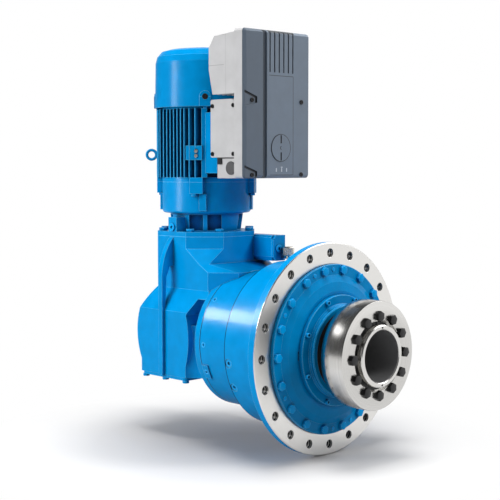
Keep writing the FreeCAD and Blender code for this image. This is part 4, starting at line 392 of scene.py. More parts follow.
class Finishes:
    """The materials, each made when it is first asked for."""

    def __init__(self, scene):
        self.paint = scene.reducer_paint
        self.skin = cast_skin()
        self.rings = turned_rings()
        self.made = {}

    def get(self, name):
        if name not in self.made:
            self.made[name] = getattr(self, name)().material
        return self.made[name]

    def enamel(self, name, grain, bump, full=0.25, painted_light_scale=1.0):
        """Blue enamel with the casting's skin, with painted highlights along its edges and painted shade
        in its corners.
        """
        finish = Finish(name)
        tree = finish.tree
        skin = place_group(tree, self.skin, Grain=grain)
        # Painted highlight: the enamel turns pale along the edges.
        edge = product(tree, edge_highlight_mask(tree, 1.5 * MM), 0.6)
        # Painted shade: the enamel darkens in corners and between ribs, where ambient occlusion finds
        # them.
        deep = product(tree, painted_shade_mask(tree, 16 * MM, full), 0.9)
        blue = self.paint.blue
        # painted_light_scale makes lighter and darker copies of the one blue, standing in for light and
        # shade.
        colour = blend_colour(tree, skin["Shade"], rgba(blue, 0.94 * painted_light_scale), rgba(blue, 1.06 * painted_light_scale))
        colour = blend_colour(tree, edge, colour, rgba(EDGE_HIGHLIGHT_BLUE))
        colour = blend_colour(tree, deep, colour, rgba(PAINTED_SHADE_BLUE))
        finish.feed({
            "Base Color": colour,
            "Roughness": blend_value(tree, skin["Shade"], 0.20, 0.26),
            "Normal": soft_edge(tree, skin["Height"], bump, 0.30 * MM, 1.2 * MM),
            "Specular IOR Level": 0.045,
            "Coat Weight": ENAMEL_COAT,
            "Coat Roughness": 0.12})
        return finish

    def joint_line(self, finish, along):
        """A dark line where two round housings meet."""
        tree = finish.tree
        finish.paint_over(near(tree, separated(tree)["X"], along, 1.3 * MM), JOINT_BLUE, 0.9)

    def cast_enamel(self):
        return self.enamel("Cast enamel", self.paint.grain, 0.5)

    def bolt_enamel(self):
        """Enamel on the painted bolts and plugs, painted lighter than the castings' as a stand-in for
        their highlights.
        """
        return self.enamel("Bolt enamel", 1.6 * MM, 0.2, painted_light_scale=1.35)

    def rib_enamel(self):
        """Enamel of the motor's frame, painted darker all over as shade, with deeper painted shade between
        its ribs.
        """
        return self.enamel("Rib enamel", self.paint.grain, 0.4, full=0.62, painted_light_scale=0.85)

    def smooth_enamel(self):
        """Enamel on sheet metal, with hardly any grain, painted a little darker than the castings' as
        shade.
        """
        return self.enamel("Sheet enamel", 1.6 * MM, 0.10, painted_light_scale=0.88)

    def stage_enamel(self):
        """Enamel of the first stage's housing, with a dark joint at its rear."""
        finish = self.enamel("First stage enamel", self.paint.grain, 0.5)
        self.joint_line(finish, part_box("first_stage_housing")[0].x + 0.8 * MM)
        return finish

    def flange_enamel(self):
        """Enamel on the output housing, left off its machined front face and its bolt holes."""
        finish = self.enamel("Flange enamel", self.paint.grain, 0.5)
        tree, steel = finish.tree, self.paint.steel
        rings = place_group(tree, self.rings, Pitch=0.7 * MM)
        holes = self.hole_mask(tree)
        bare = largest(tree, between(tree, rings["Along"], -2.0 * MM, -1.9 * MM), holes)
        inside = product(tree, holes, between(tree, rings["Along"], -0.3 * MM, -0.5 * MM))
        metal = blend_colour(tree, rings["Height"], rgba(steel), rgba(steel, 1.18))
        # Painted shade inside the bolt holes, with painted highlights on the thread.
        metal = blend_colour(tree, inside, metal, self.hole_wall(tree, rings["Along"]))
        finish.feed({
            "Base Color": blend_colour(tree, bare, finish.fed("Base Color"), metal),
            "Roughness": blend_value(tree, bare, finish.fed("Roughness"), 0.33),
            "Metallic": product(tree, bare, minus(tree, 1.0, inside)),
            "Coat Weight": product(tree, minus(tree, 1.0, bare), ENAMEL_COAT),
            "Anisotropic": 0.35,
            "Tangent": round_tangent(tree)})
        self.joint_line(finish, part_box("output_housing")[0].x + 2.6 * MM)
        return finish

    def hole_wall(self, tree, along):
        """A hole's wall painted dark as shade, with painted highlights on the turns of a thread towards
        the front.
        """
        waves = {"Scale": 50.0, "Distortion": 0.4, "Vector": own_place(tree)}
        thread = add(tree, "TexWave", waves, bands_direction="X").outputs["Fac"]
        thread = product(tree, between(tree, thread, 0.45, 0.75),
                         between(tree, along, THREAD_END, THREAD_END + 1.5 * MM))
        return blend_colour(tree, thread, (0.02, 0.02, 0.02, 1), (0.45, 0.44, 0.42, 1))

    def hole_mask(self, tree):
        """1 inside the flange's bolt holes."""
        parts = separated(tree)
        angle = math_node(tree, "ARCTAN2", parts["Y"], parts["Z"])
        pitch = 2 * math.pi / FLANGE_HOLES
        step = math_node(tree, "ROUND", math_node(tree, "DIVIDE", angle, pitch))
        off = minus(tree, angle, math_node(tree, "MULTIPLY", step, pitch))
        across = math_node(tree, "MULTIPLY", off, FLANGE_CIRCLE)
        rise = minus(tree, length_of(tree, parts["Y"], parts["Z"]), FLANGE_CIRCLE)
        return between(tree, length_of(tree, across, rise), 9.1 * MM, 8.95 * MM)

    def lathed(self, name, dark, light, edge):
        """Bare steel with fine grooves round the X axis, and the values of its grooves."""
        finish = Finish(name)
        tree, steel = finish.tree, self.paint.steel
        rings = place_group(tree, self.rings, Pitch=0.9 * MM)
        finish.feed({
            "Base Color": blend_colour(tree, rings["Height"], rgba(steel, dark), rgba(steel, light)),
            "Normal": soft_edge(tree, rings["Height"], 0.08, 0.05 * MM, edge)})
        return finish, rings

    def turned_steel(self):
        """Turned steel of the shrink disc, with a painted dark reflection towards its rear edge."""
        finish, rings = self.lathed("Turned steel", 0.74, 1.04, 0.8 * MM)
        tree = finish.tree
        # Painted reflection: the steel darkens towards the rear edge, where it would mirror the dark
        # cover.
        finish.paint_over(between(tree, rings["Along"], 78 * MM, 60 * MM), (0.10, 0.095, 0.09))
        finish.feed({
            "Roughness": blend_value(tree, rings["Shade"], 0.16, 0.26),
            "Metallic": 1.0,
            "Anisotropic": 0.5,
            "Tangent": round_tangent(tree)})
        return finish

    def shaft_steel(self):
        """Bright shaft end with two small holes painted black as their shade, and a bore painted dark grey
        and not metallic as the shade inside it.
        """
        finish, rings = self.lathed("Shaft steel", 0.85, 1.15, 0.6 * MM)
        tree = finish.tree
        bore = between(tree, rings["Radius"], SHAFT_BORE + 1.0 * MM, SHAFT_BORE + 0.2 * MM)
        place = separated(tree)
        height = minus(tree, size_of(tree, place["Z"]), SHAFT_HOLES)
        hole = between(tree, length_of(tree, place["Y"], height), 2.3 * MM, 2.0 * MM)
        # Painted shade: the bore is dark grey and the two small holes are black.
        finish.paint_over(bore, (0.21, 0.21, 0.213))
        finish.paint_over(hole, (0.01, 0.01, 0.01))
        finish.feed({
            "Roughness": blend_value(tree, bore, 0.24, 0.30),
            "Metallic": minus(tree, 1.0, bore)})
        return finish

    def plain(self, name, colour, metallic, roughness, grain, bump, edge=0.6 * MM):
        """A finish with fine grain: colour, gloss and bumps vary a little over it."""
        finish = Finish(name)
        tree = finish.tree
        skin = place_group(tree, self.skin, Grain=grain)
        finish.feed({
            "Base Color": blend_colour(tree, skin["Shade"], rgba(colour, 0.95), rgba(colour, 1.05)),
            "Roughness": blend_value(tree, skin["Shade"], *roughness),
            "Normal": soft_edge(tree, skin["Height"], bump, 0.12 * MM, edge),
            "Metallic": metallic})
        return finish

    def moulded(self, name, edge):
        """The drive's slate plastic."""
        return self.plain(name, self.paint.slate, 0.0, (0.42, 0.52), 0.7 * MM, 0.2, edge)

    def drive_front(self):
        """The drive's moulded cover: painted shade on its left strip, dark groove, painted shade in the
        vents and along the pocket edges, fine panel joints, ticks.
        """
        finish = self.moulded("Drive cover", 1.0 * MM)
        tree = finish.tree
        place = separated(tree)
        sunk = between(tree, place["X"], DRIVE_FRONT - 0.3 * MM, DRIVE_FRONT - 0.6 * MM)
        left = between(tree, place["Y"], -34 * MM, -41 * MM)
        groove = product(tree, sunk, near(tree, place["Y"], GROOVE_Y, GROOVE_HALF))
        vents = product(tree, sunk, near(tree, place["Y"], VENTS_Y, VENTS_HALF),
                        between(tree, place["Z"], VENTS_FOOT, VENTS_FOOT + 1 * MM))
        pockets = largest(tree, *[self.pocket_shadow(tree, place, z) for z in POCKET_HEIGHTS])
        joints = largest(tree, *[rectangle(tree, place, mark) for mark in PANEL_JOINTS])
        ticks = largest(tree, *[rectangle(tree, place, mark) for mark in [TICK_BAR] + TICKS])
        # Painted shade: black in the vents and along the pockets' upper and inner edges.
        black = largest(tree, product(tree, vents, 0.85), product(tree, pockets, 0.95))
        # Painted shade: the left strip of the front is darker.
        finish.paint_over(left, (0.035, 0.05, 0.07), 0.45)
        finish.paint_over(groove, (0.02, 0.026, 0.033), 0.8)
        finish.paint_over(black, NEAR_BLACK)
        finish.paint_over(joints, (0.02, 0.024, 0.03), 0.75)
        finish.paint_over(ticks, (0.75, 0.78, 0.82), 0.85)
        return finish

    def pocket_shadow(self, tree, place, height):
        """The painted shadow along the upper and inner edge of the recess round a screw of the drive
        cover.
        """
        inner, rise, slant = -60 * MM, 7 * MM, 11 / 32
        back = minus(tree, inner, place["Y"])
        under = minus(tree, scaled_sum(tree, back, slant, height + rise), place["Z"])
        slope = product(tree, between(tree, under, 4.2 * MM, 3.8 * MM),
                        between(tree, under, -1 * MM, -0.5 * MM))
        side = product(tree, between(tree, back, 3.4 * MM, 3.0 * MM),
                       between(tree, under, -1 * MM, 0.0))
        recess = product(tree, near(tree, place["Y"], inner - 16 * MM, 17 * MM),
                         near(tree, place["Z"], height + 2 * MM, 18 * MM),
                         between(tree, place["X"], DRIVE_FRONT - 0.2 * MM, DRIVE_FRONT - 0.4 * MM))
        return product(tree, recess, largest(tree, slope, side))

    def drive_dial(self):
        """The quarter-turn cap with black slots, a dark rim and a small mark at its centre."""
        finish = self.moulded("Drive cap", 0.5 * MM)
        tree = finish.tree
        place = separated(tree)
        y = minus(tree, place["Y"], CAP_CENTRE.y)
        z = minus(tree, place["Z"], CAP_CENTRE.z)
        height = size_of(tree, z)
        rim = between(tree, length_of(tree, y, z), 26.6 * MM, 27.0 * MM)
        slots = product(tree, near(tree, y, 0.0, 2.0 * MM), near(tree, height, 17.5 * MM, 8.5 * MM))
        arrow = near(tree, scaled_sum(tree, height, -0.6, y), -2.2 * MM, 1.1 * MM)
        centre = product(tree, arrow, near(tree, z, 0.0, 4.0 * MM))
        finish.paint_over(largest(tree, rim, slots, centre), NEAR_BLACK, 0.92)
        return finish

    def cast(self, name, roughness, edge):
        """Cast aluminium of the drive and its terminal box."""
        return self.plain(name, self.paint.silver, 0.1, roughness, 0.9 * MM, 0.3, edge)

    def cast_silver(self):
        return self.cast("Cast aluminium", (0.42, 0.55), 0.9 * MM)

    def cast_heatsink(self):
        """Cast aluminium with the fine joints of the closed side walls."""
        finish = self.cast("Heatsink", (0.45, 0.58), 1.0 * MM)
        tree = finish.tree
        place = separated(tree)
        side = between(tree, size_of(tree, place["Y"]), 95 * MM, 95.6 * MM)
        upright = product(tree, near(tree, place["X"], -196.5 * MM, 0.5 * MM), 0.5)
        level = product(tree, near(tree, place["Z"], 562.5 * MM, 0.5 * MM),
                        between(tree, place["X"], -201 * MM, -202 * MM))
        lines = product(tree, side, largest(tree, upright, level))
        finish.paint_over(lines, (0.12, 0.12, 0.125), 0.5)
        return finish

    def terminal_cast(self):
        """The terminal box's body, with the shadow of its side covers' joint."""
        finish = self.cast("Terminal box", (0.42, 0.55), 0.9 * MM)
        tree = finish.tree
        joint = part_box("terminal_box_covers")[0].z
        under = near(tree, separated(tree)["Z"], joint - 1.2 * MM, 1.3 * MM)
        finish.paint_over(under, (0.03, 0.03, 0.032), 0.85)
        return finish

    def black_oxide(self):
        return self.plain("Black oxide", self.paint.black, 0.4, (0.32, 0.45), 1.2 * MM, 0.15, 1.0 * MM)

    def ground_steel(self):
        return self.plain("Ground steel", (0.45, 0.45, 0.46), 1.0, (0.25, 0.35), 1.0 * MM, 0.1)

    def zinc(self):
        return self.plain("Zinc plate", (0.70, 0.68, 0.62), 1.0, (0.22, 0.32), 1.5 * MM, 0.15)

    def knurled_zinc(self):
        """Zinc plate with dark slots round the breather's cap."""
        finish = self.plain("Knurled zinc", (0.74, 0.70, 0.62), 1.0, (0.22, 0.32), 1.5 * MM, 0.15)
        tree = finish.tree
        place = separated(tree)
        centre, radius, top = breather_cap()
        off_x = minus(tree, place["X"], centre.x)
        off_y = minus(tree, place["Y"], centre.y)
        turn = math_node(tree, "ARCTAN2", off_y, off_x)
        slot = between(tree, math_node(tree, "PINGPONG", turn, math.pi / 18), 0.06, 0.04)
        wall = between(tree, length_of(tree, off_x, off_y), radius * 0.9, radius * 0.95)
        below = between(tree, place["Z"], top - 2.5 * MM, top - 3.5 * MM)
        finish.paint_over(product(tree, slot, wall, below), (0.16, 0.15, 0.14), 0.6)
        return finish

    def rubber(self):
        return self.plain("Black rubber", (0.02, 0.02, 0.021), 0.0, (0.6, 0.75), 1.0 * MM, 0.3)

    def grey_plug(self):
        """Dark plug with a fine moulded grid."""
        finish = self.plain("Grey plug", (0.045, 0.045, 0.047), 0.0, (0.5, 0.6), 0.8 * MM, 0.2)
        tree = finish.tree
        place = separated(tree)
        lines = [near(tree, math_node(tree, "PINGPONG", place[axis], 1.1 * MM), 0.0, 0.35 * MM)
                 for axis in ("X", "Z")]
        finish.paint_over(largest(tree, *lines), (0.22, 0.22, 0.225), 0.5)
        return finish

    def copper(self):
        return self.plain("Varnished copper", (0.45, 0.18, 0.07), 0.8, (0.3, 0.45), 1.5 * MM, 0.5)

    def board(self):
        return self.plain("Circuit board", (0.02, 0.16, 0.07), 0.0, (0.35, 0.5), 2.0 * MM, 0.2)


# Nodes that aren't listed here are ground steel

NODE_FINISHES = {
    "cast_enamel": ["output_cover", "bevel_housing", "motor_adapter",
                    "seal_cover", "motor_end_shield", "fan_end_shield",
                    "bottom_cover", "breather_end_plate", "cover_bolts", "case_bolts",
                    "seal_cover_screws", "housing_bolts", "screw_plugs"],
    "flange_enamel": ["output_housing"],
    "smooth_enamel": ["fan_cover", "lifting_eye"],
    "stage_enamel": ["first_stage_housing"],
    "rib_enamel": ["motor_frame"],
    "turned_steel": ["shrink_disc_outer_ring"],
    "shaft_steel": ["output_shaft"],
    "black_oxide": ["shrink_disc_bolts", "shrink_disc_inner_ring", "enclosure_screws"],
    "drive_front": ["drive_cover"],
    "drive_dial": ["drive_cap"],
    "cast_silver": ["terminal_box_covers", "drive_base"],
    "terminal_cast": ["terminal_box"],
    "cast_heatsink": ["drive_heatsink"],
    "zinc": ["breather"],
    "rubber": ["shaft_seals", "coupling_spider", "fan"],
    "grey_plug": ["cable_entry_plugs"],
    "copper": ["wound_stator"],
    "board": ["control_board"],
}

# The fasteners whose edges are rounded: node, finish and width of the rounding

ROUNDED_FASTENERS = (
    ("case_bolts", "cast_enamel", 0.9 * MM),
    ("screw_plugs", "bolt_enamel", 0.5 * MM),
    ("housing_bolts", "cast_enamel", 0.4 * MM),
    ("seal_cover_screws", "bolt_enamel", 0.5 * MM),
    ("enclosure_screws", "black_oxide", 0.4 * MM),
)


# Meshes

def mesh_piece(name, bm, finish, body="housing", replaced=(), smooth=30):
    """Turns a bmesh in the frame's coordinates into a piece that rides on a body."""
    bmesh.ops.remove_doubles(bm, verts=bm.verts, dist=1e-6)
    bmesh.ops.recalc_face_normals(bm, faces=bm.faces)
    piece = new_object(name, bm)
    piece.data.materials.append(finish)
    piece.data.shade_smooth()
    piece.data.set_sharp_from_angle(angle=math.radians(smooth))
    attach(piece, body)
    if replaced:
        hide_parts(*replaced)


def new_object(name, bm):
    mesh = bpy.data.meshes.new(name)
    bm.to_mesh(mesh)
    bm.free()
    piece = bpy.data.objects.new(name, mesh)
    bpy.context.scene.collection.objects.link(piece)
    return piece


def frame_of(axis):
    """A rotation that takes Z to this axis."""
    return axis.to_track_quat("Z", "Y").to_matrix().to_4x4()


def lathe(outline, centre, axis, steps):
    """A bmesh of an outline of (along, radius) points spun once round an axis."""
    bm = bmesh.new()
    points = [bm.verts.new((radius, 0, along)) for along, radius in outline]
    edges = [bm.edges.new(pair) for pair in zip(points, points[1:])]
    bmesh.ops.spin(bm, geom=points + edges, cent=(0, 0, 0), axis=(0, 0, 1), angle=2 * math.pi,
                   steps=steps, use_merge=True)
    bmesh.ops.remove_doubles(bm, verts=bm.verts, dist=1e-7)
    bm.transform(Matrix.Translation(centre) @ frame_of(axis))
    return bm


def joined(bm, other):
    """Adds another bmesh to this one."""
    mesh = bpy.data.meshes.new("joined")
    other.to_mesh(mesh)
    other.free()
    bm.from_mesh(mesh)
    bpy.data.meshes.remove(mesh)


def merged_copy(node):
    """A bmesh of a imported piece, its split corners merged and its flats joined."""
    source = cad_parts[node]
    bm = bmesh.new()
    bm.from_mesh(source.data)
    bm.transform(source.matrix_world)
    bmesh.ops.remove_doubles(bm, verts=bm.verts, dist=1e-6)
    bmesh.ops.dissolve_limit(bm, angle_limit=math.radians(1), verts=bm.verts, edges=bm.edges)
    return bm


def soften(bm, width):
    """Rounds every edge sharper than 40 degrees."""
    sharp = [edge for edge in bm.edges
             if edge.is_manifold and edge.calc_face_angle(0) > math.radians(40)]
    bmesh.ops.bevel(bm, geom=sharp, offset=width, offset_type="OFFSET", affect="EDGES",
                    segments=2, profile=0.5, material=-1, clamp_overlap=True)


def hexagon_head(bm, seat, axis, flats, height, turned_by):
    """A hexagon head with a chamfered top."""
    turn = Matrix.Translation(seat) @ frame_of(axis) @ Matrix.Rotation(turned_by, 4, "Z")
    corner = flats / math.sqrt(3)
    head = bmesh.ops.create_cone(bm, cap_ends=True, segments=6, radius1=corner, radius2=corner,
                                 depth=height, matrix=turn @ Matrix.Translation((0, 0, height / 2)))
    top = turn @ Vector((0, 0, height))
    normal = turn.to_3x3() @ Z
    rim = {edge for vert in head["verts"] for edge in vert.link_edges
           if all(abs((end.co - top).dot(normal)) < 1e-5 for end in edge.verts)}
    bmesh.ops.bevel(bm, geom=list(rim), offset=1.1 * MM, affect="EDGES", segments=2,
                    profile=0.5, material=-1)


def ring_point(x, radius, angle):
    """A point round the X axis, turned from the top towards -Y."""
    return Vector((x, -radius * math.sin(angle), radius * math.cos(angle)))


def steps_round(count, first=0.0):
    return [math.radians(first) + 2 * math.pi * index / count for index in range(count)]


def breather_cap():
    """The centre, radius and top of the breather's upright cap."""
    low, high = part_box("breather")
    radius = (high.y - low.y) / 2
    return Vector((high.x - radius, (low.y + high.y) / 2, 0)), radius, high.z


# Operators

class REDUCER_OT_finishes(bpy.types.Operator):
    """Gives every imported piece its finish."""

    bl_idname = "reducer.finishes"
    bl_label = "Finish the packed pieces"

    def execute(self, context):
        finishes = finishes_of(context)
        by_node = {node: name for name, nodes in NODE_FINISHES.items() for node in nodes}
        for name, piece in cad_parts.items():
            finish = finishes.get(by_node.get(name, "ground_steel"))
            piece.data.materials.clear()
            piece.data.materials.append(finish)
        return {"FINISHED"}


class REDUCER_OT_cover_bolts(bpy.types.Operator):
    """Makes the chamfered bolts round the output cover."""

    bl_idname = "reducer.cover_bolts"
    bl_label = "Cover bolts"

    def execute(self, context):
        settings = context.scene.reducer_fasteners
        finish = finishes_of(context).get("bolt_enamel")
        bm = bmesh.new()
        for angle in steps_round(settings.cover_count, 10):
            seat = ring_point(COVER_FRONT, settings.cover_circle, angle)
            hexagon_head(bm, seat, X, settings.cover_flats, COVER_HEAD, angle)
        mesh_piece("cover_bolt_heads", bm, finish, replaced=["cover_bolts"])
        return {"FINISHED"}


class REDUCER_OT_clamp_bolts(bpy.types.Operator):
    """Makes the black bolts of the shrink disc, each head turned its own way."""

    bl_idname = "reducer.clamp_bolts"
    bl_label = "Shrink disc bolts"

    def execute(self, context):
        settings = context.scene.reducer_fasteners
        finish = finishes_of(context).get("black_oxide")
        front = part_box("shrink_disc_outer_ring")[1].x
        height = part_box("shrink_disc_bolts")[1].x - front
        bm = bmesh.new()
        for angle in steps_round(settings.clamp_count):
            seat = ring_point(front, settings.clamp_circle, angle)
            hexagon_head(bm, seat, X, settings.clamp_flats, height, angle * 2.3)
        mesh_piece("clamp_bolt_heads", bm, finish, "output_shaft", ["shrink_disc_bolts"])
        return {"FINISHED"}


class REDUCER_OT_shrink_ring(bpy.types.Operator):
    """Makes the outer ring of the shrink disc with its deep rounded rear edge."""

    bl_idname = "reducer.shrink_ring"
    bl_label = "Shrink disc ring"

    def execute(self, context):
        settings = context.scene.reducer_fasteners
        finish = finishes_of(context).get("turned_steel")
        low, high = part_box("shrink_disc_outer_ring")
        rear, front, outer = low.x - settings.ring_reach, high.x, high.y
        recess, floor, bore = 68.5 * MM, front - 6 * MM, 65.4 * MM
        curve = settings.ring_round
        turns = [math.radians(step * 9) for step in range(11)]
        corner = [(rear + curve * (1 - math.sin(turn)), outer - curve * (1 - math.cos(turn)))
                  for turn in reversed(turns)]
        start = (rear, bore + 1.6 * MM)
        outline = [start] + corner + [
            (front - 2 * MM, outer), (front - 0.6 * MM, outer - 0.6 * MM), (front, outer - 2 * MM),
            (front, recess + 1 * MM), (front - 1 * MM, recess), (floor, recess), (floor, bore),
            (rear, bore), start]
        ring = lathe(outline, Vector((0, 0, 0)), X, 128)
        mesh_piece("shrink_ring", ring, finish, "output_shaft", ["shrink_disc_outer_ring"])
        return {"FINISHED"}


class REDUCER_OT_small_fasteners(bpy.types.Operator):
    """Rounds the edges of the other bolts, screws and plugs."""

    bl_idname = "reducer.small_fasteners"
    bl_label = "Small bolts, screws and plugs"

    def execute(self, context):
        finishes = finishes_of(context)
        for node, finish, width in ROUNDED_FASTENERS:
            bm = merged_copy(node)
            soften(bm, width)
            mesh_piece(node + "_rounded", bm, finishes.get(finish), replaced=[node])
        return {"FINISHED"}


class REDUCER_OT_breather(bpy.types.Operator):
    """Makes the breather: blue elbow, plated collar and a knurled cap."""

    bl_idname = "reducer.breather"
    bl_label = "Breather"

    def execute(self, context):
        finishes = finishes_of(context)
        centre, radius, top = breather_cap()
        height = 24 * MM
        foot, neck = top - height, radius * 0.55
        self.elbow(finishes.get("cast_enamel"), foot)
        outline = [(foot - 1 * MM, 0), (foot - 1 * MM, neck), (foot + 5 * MM, neck),
                   (foot + 5 * MM, radius * 0.9), (foot + 6.5 * MM, radius), (top - 2 * MM, radius),
                   (top - 0.6 * MM, radius - 1.4 * MM), (top, radius - 2.6 * MM), (top, 0)]
        steps = 96
        cap = lathe(outline, centre, Z, steps)
        for vert in cap.verts:
            flat = Vector((vert.co.x - centre.x, vert.co.y - centre.y))
            step = round(math.atan2(flat.y, flat.x) / (2 * math.pi) * steps)
            if flat.length > radius * 0.985 and foot + 7 * MM < vert.co.z and step % 3 == 0:
                flat = flat.normalized() * (radius - 0.7 * MM)
                vert.co.x = centre.x + flat.x
                vert.co.y = centre.y + flat.y
        mesh_piece("breather_cap", cap, finishes.get("knurled_zinc"), smooth=20)
        return {"FINISHED"}

    def elbow(self, finish, height):
        """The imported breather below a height."""
        bm = merged_copy("breather")
        bmesh.ops.bisect_plane(bm, geom=bm.verts[:] + bm.edges[:] + bm.faces[:],
                               plane_co=(0, 0, height), plane_no=(0, 0, 1), clear_outer=True)
        bmesh.ops.holes_fill(bm, edges=[edge for edge in bm.edges if edge.is_boundary])
        mesh_piece("breather_elbow", bm, finish, replaced=["breather"])


class REDUCER_OT_trim(bpy.types.Operator):
    """Adds the black clip under the terminal box and the two bright earthing screws."""

    bl_idname = "reducer.trim"
    bl_label = "Clip and earthing screws"

    def execute(self, context):
        finishes = finishes_of(context)
        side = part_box("cable_entry_plugs")[0].y
        place = Matrix.Translation((-219.5 * MM, side + 1 * MM, 369 * MM))
        size = Matrix.Diagonal((11 * MM, 5 * MM, 12 * MM, 1))
        bm = bmesh.new()
        bmesh.ops.create_cube(bm, size=1, matrix=place @ size)
        soften(bm, 0.8 * MM)
        mesh_piece("entry_clip", bm, finishes.get("rubber"))

        out, aside = Vector((0.5, -0.866, 0)), Vector((0.866, 0.5, 0))
        pad = MOTOR_AXIS + out * 107 * MM + aside * 11 * MM
        outline = [(-1 * MM, 0), (-1 * MM, 4 * MM), (2 * MM, 4 * MM), (3 * MM, 3 * MM), (3 * MM, 0)]
        bm = bmesh.new()
        for height in (381 * MM, 391 * MM):
            joined(bm, lathe(outline, pad + Z * height, out, 24))
        mesh_piece("earthing_screws", bm, finishes.get("zinc"))
        return {"FINISHED"}


class REDUCER_OT_stage(bpy.types.Operator):
    """Sets the floor, the light and the camera."""

    bl_idname = "reducer.stage"
    bl_label = "Stage and camera"

    def execute(self, context):
        settings = context.scene.reducer_stage
        self.floor(CAD_LOW.z - settings.floor_gap)
        self.world(context.scene)
        self.lamps()
        self.camera(context.scene, settings)
        context.scene.view_settings.view_transform = "Standard"
        return {"FINISHED"}

    def floor(self, height):
        """A wide floor with a painted shadow under the object, that fades into the white background round
        it.
        """
        bm = bmesh.new()
        bmesh.ops.create_grid(bm, x_segments=1, y_segments=1, size=12)
        bmesh.ops.translate(bm, vec=(0, 0, height), verts=bm.verts)
        floor = new_object("floor", bm)
        finish = Finish("White floor")
        tree = finish.tree
        shadow_centre = (-0.20, -0.05, height)
        offset = add(tree, "VectorMath", {0: own_place(tree), 1: shadow_centre}, operation="SUBTRACT")
        distance = add(tree, "VectorMath", {0: offset.outputs["Vector"]}, operation="LENGTH")
        distance = distance.outputs["Value"]
        # Painted shadow: the floor's colour darkens towards the middle, under the object.
        painted_shadow = between(tree, distance, 0.08, 0.46)
        fade = between(tree, distance, 0.30, 0.56)
        finish.feed({
            "Base Color": blend_colour(tree, painted_shadow, (0.48, 0.465, 0.46, 1), (0.95, 0.945, 0.94, 1)),
            "Roughness": 0.6,
            "Specular IOR Level": 0.2})
        path = add(tree, "LightPath").outputs
        seen = largest(tree, *[path[f"Is {kind} Ray"] for kind in ("Camera", "Glossy", "Transmission")])
        glow = add(tree, "Emission", {"Color": WHITE, "Strength": 1.0}).outputs[0]
        dim = add(tree, "BsdfDiffuse", {"Color": (0.38, 0.38, 0.39, 1)}).outputs[0]
        mixed = mixed_shader(tree, path["Is Diffuse Ray"], finish.shader.outputs[0], dim)
        mixed = mixed_shader(tree, product(tree, seen, fade), mixed, glow)
        feed(tree, tree.nodes["Material Output"].inputs["Surface"], mixed)
        floor.data.materials.append(finish.material)

    def world(self, scene):
        """White where the camera looks, dark with a few bright walls for the metal to mirror."""
        world = bpy.data.worlds.new("Studio")
        world.use_nodes = True
        tree = world.node_tree
        tree.nodes.clear()
        ray = add(tree, "TexCoord").outputs["Generated"]
        parts = add(tree, "SeparateXYZ", {"Vector": ray}).outputs
        heading = math_node(tree, "ARCTAN2", parts["Y"], parts["X"])

        def wall(centre, half, low, high, soft, edge, strength):
            """A bright wall: its heading and half width in degrees, and the rays' lowest and highest Z."""
            off = minus(tree, heading, math.radians(centre))
            off = add(tree, "Math", {0: off, 1: math.pi, 2: -math.pi}, operation="WRAP").outputs[0]
            half = math.radians(half)
            across = between(tree, size_of(tree, off), half + soft, half - soft)
            return product(tree, across, between(tree, parts["Z"], low - edge, low + edge),
                           between(tree, parts["Z"], high + edge, high - edge), strength)

        walls = largest(tree, wall(48, 50, -0.6, 0.55, soft=0.25, edge=0.2, strength=1.15),
                        wall(70, 22, 0.50, 0.85, soft=0.2, edge=0.1, strength=6.0),
                        wall(132, 26, -0.5, 0.6, soft=0.2, edge=0.15, strength=0.60),
                        wall(220, 14, 0.56, 0.72, soft=0.08, edge=0.03, strength=3.0))
        path = add(tree, "LightPath").outputs
        mirrored = largest(tree, path["Is Glossy Ray"], path["Is Transmission Ray"])
        soft = background(tree, (0.97, 0.98, 1.0, 1), 0.22)
        studio = background(tree, WHITE, math_node(tree, "ADD", walls, 0.09))
        mixed = mixed_shader(tree, mirrored, soft, studio)
        mixed = mixed_shader(tree, path["Is Camera Ray"], mixed, background(tree, WHITE, 1.0))
        feed(tree, add(tree, "OutputWorld").inputs["Surface"], mixed)
        scene.world = world

    def lamps(self):
        """Softboxes on the left, overhead and high on the right, and cards for round pieces."""
        softbox("Left softbox", (-1.1, -2.4, 0.9), (-0.15, 0, 0.1), (1.2, 1.2), power=56)
        softbox("Top softbox", (-0.1, -0.2, 2.5), (-0.15, 0, 0.1), (1.0, 1.0), power=42)
        softbox("Right softbox", (2.2, 1.1, 1.9), (0, 0, 0.1), (1.0, 1.0), power=45)
        card("Barrel card", (-0.82, -0.70, 0.50), (-0.14, -0.14, 0.06), (0.46, 0.22), 22,
             ["output_housing", "first_stage_housing"])
        card("Disc card", (-0.96, -0.52, 0.44), (0.07, -0.10, 0.05), (0.30, 0.26), 5, ["shrink_ring"])
        card("Motor card", (-1.35, -1.95, 0.45), (-0.36, 0, 0.45), (0.60, 1.4), 55,
             ["fan_cover", "motor_adapter", "motor_end_shield"])

    def camera(self, scene, settings):
        data = bpy.data.cameras.new("Camera")
        data.lens = settings.lens
        data.sensor_width = 36
        camera = bpy.data.objects.new("Camera", data)
        scene.collection.objects.link(camera)
        camera.location = settings.camera_place
        ahead = Vector((-math.sin(settings.turn) * math.cos(settings.tilt),
                        math.cos(settings.turn) * math.cos(settings.tilt),
                        -math.sin(settings.tilt)))
        camera.rotation_euler = ahead.to_track_quat("-Z", "Y").to_euler()
        scene.camera = camera


def mixed_shader(tree, mask, first, second):
    return add(tree, "MixShader", {0: mask, 1: first, 2: second}).outputs[0]


def background(tree, colour, strength):
    return add(tree, "Background", {"Color": colour, "Strength": strength}).outputs[0]


def softbox(name, place, target, spread, power):
    """A rectangular lamp that faces a target and isn't mirrored."""
    lamp = bpy.data.lights.new(name, "AREA")
    lamp.shape = "RECTANGLE"
    lamp.size, lamp.size_y = spread
    lamp.energy = power
    light = bpy.data.objects.new(name, lamp)
    bpy.context.scene.collection.objects.link(light)
    light.location = place
    light.rotation_euler = (Vector(target) - Vector(place)).to_track_quat("-Z", "Y").to_euler()
    light.visible_glossy = False
    return light


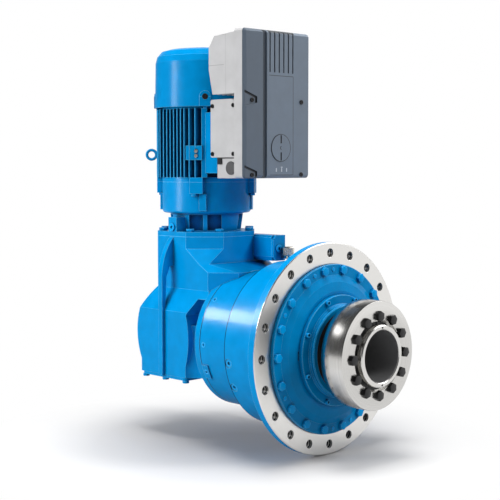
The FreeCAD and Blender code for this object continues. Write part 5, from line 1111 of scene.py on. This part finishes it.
def card(name, place, target, spread, power, pieces):
    """A lamp that only shows as a highlight, on a few round pieces."""
    light = softbox(name, place, target, spread, power)
    light.visible_glossy = True
    light.visible_diffuse = False
    receivers = bpy.data.collections.new(name)
    for piece in pieces:
        receivers.objects.link(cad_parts.get(piece) or bpy.data.objects[piece])
    light.light_linking.receiver_collection = receivers


class REDUCER_PT_panel(bpy.types.Panel):
    """Lists the steps and the settings."""

    bl_idname = "REDUCER_PT_panel"
    bl_label = "Gear reducer"
    bl_space_type = "VIEW_3D"
    bl_region_type = "UI"
    bl_category = "Gear reducer"

    def draw(self, context):
        for step in STEPS:
            self.layout.operator(step.bl_idname)
        for group in (context.scene.reducer_paint, context.scene.reducer_fasteners,
                      context.scene.reducer_stage):
            for name in group.__annotations__:
                self.layout.prop(group, name)


STEPS = (REDUCER_OT_finishes, REDUCER_OT_cover_bolts, REDUCER_OT_clamp_bolts, REDUCER_OT_shrink_ring,
         REDUCER_OT_small_fasteners, REDUCER_OT_breather, REDUCER_OT_trim, REDUCER_OT_stage)

CLASSES = (PaintSettings, FastenerSettings, StageSettings, *STEPS, REDUCER_PT_panel)

shared = {}


def finishes_of(context):
    """The one set of finishes that all pieces share."""
    if "finishes" not in shared:
        shared["finishes"] = Finishes(context.scene)
    return shared["finishes"]


def register():
    for kind in CLASSES:
        bpy.utils.register_class(kind)
    bpy.types.Scene.reducer_paint = PointerProperty(type=PaintSettings)
    bpy.types.Scene.reducer_fasteners = PointerProperty(type=FastenerSettings)
    bpy.types.Scene.reducer_stage = PointerProperty(type=StageSettings)


def unregister():
    del bpy.types.Scene.reducer_paint
    del bpy.types.Scene.reducer_fasteners
    del bpy.types.Scene.reducer_stage
    for kind in reversed(CLASSES):
        bpy.utils.unregister_class(kind)


def main():
    register()
    bpy.ops.reducer.finishes()
    bpy.ops.reducer.cover_bolts()
    bpy.ops.reducer.clamp_bolts()
    bpy.ops.reducer.shrink_ring()
    bpy.ops.reducer.small_fasteners()
    bpy.ops.reducer.breather()
    bpy.ops.reducer.trim()
    bpy.ops.reducer.stage()


if __name__ == "__main__":
    main()
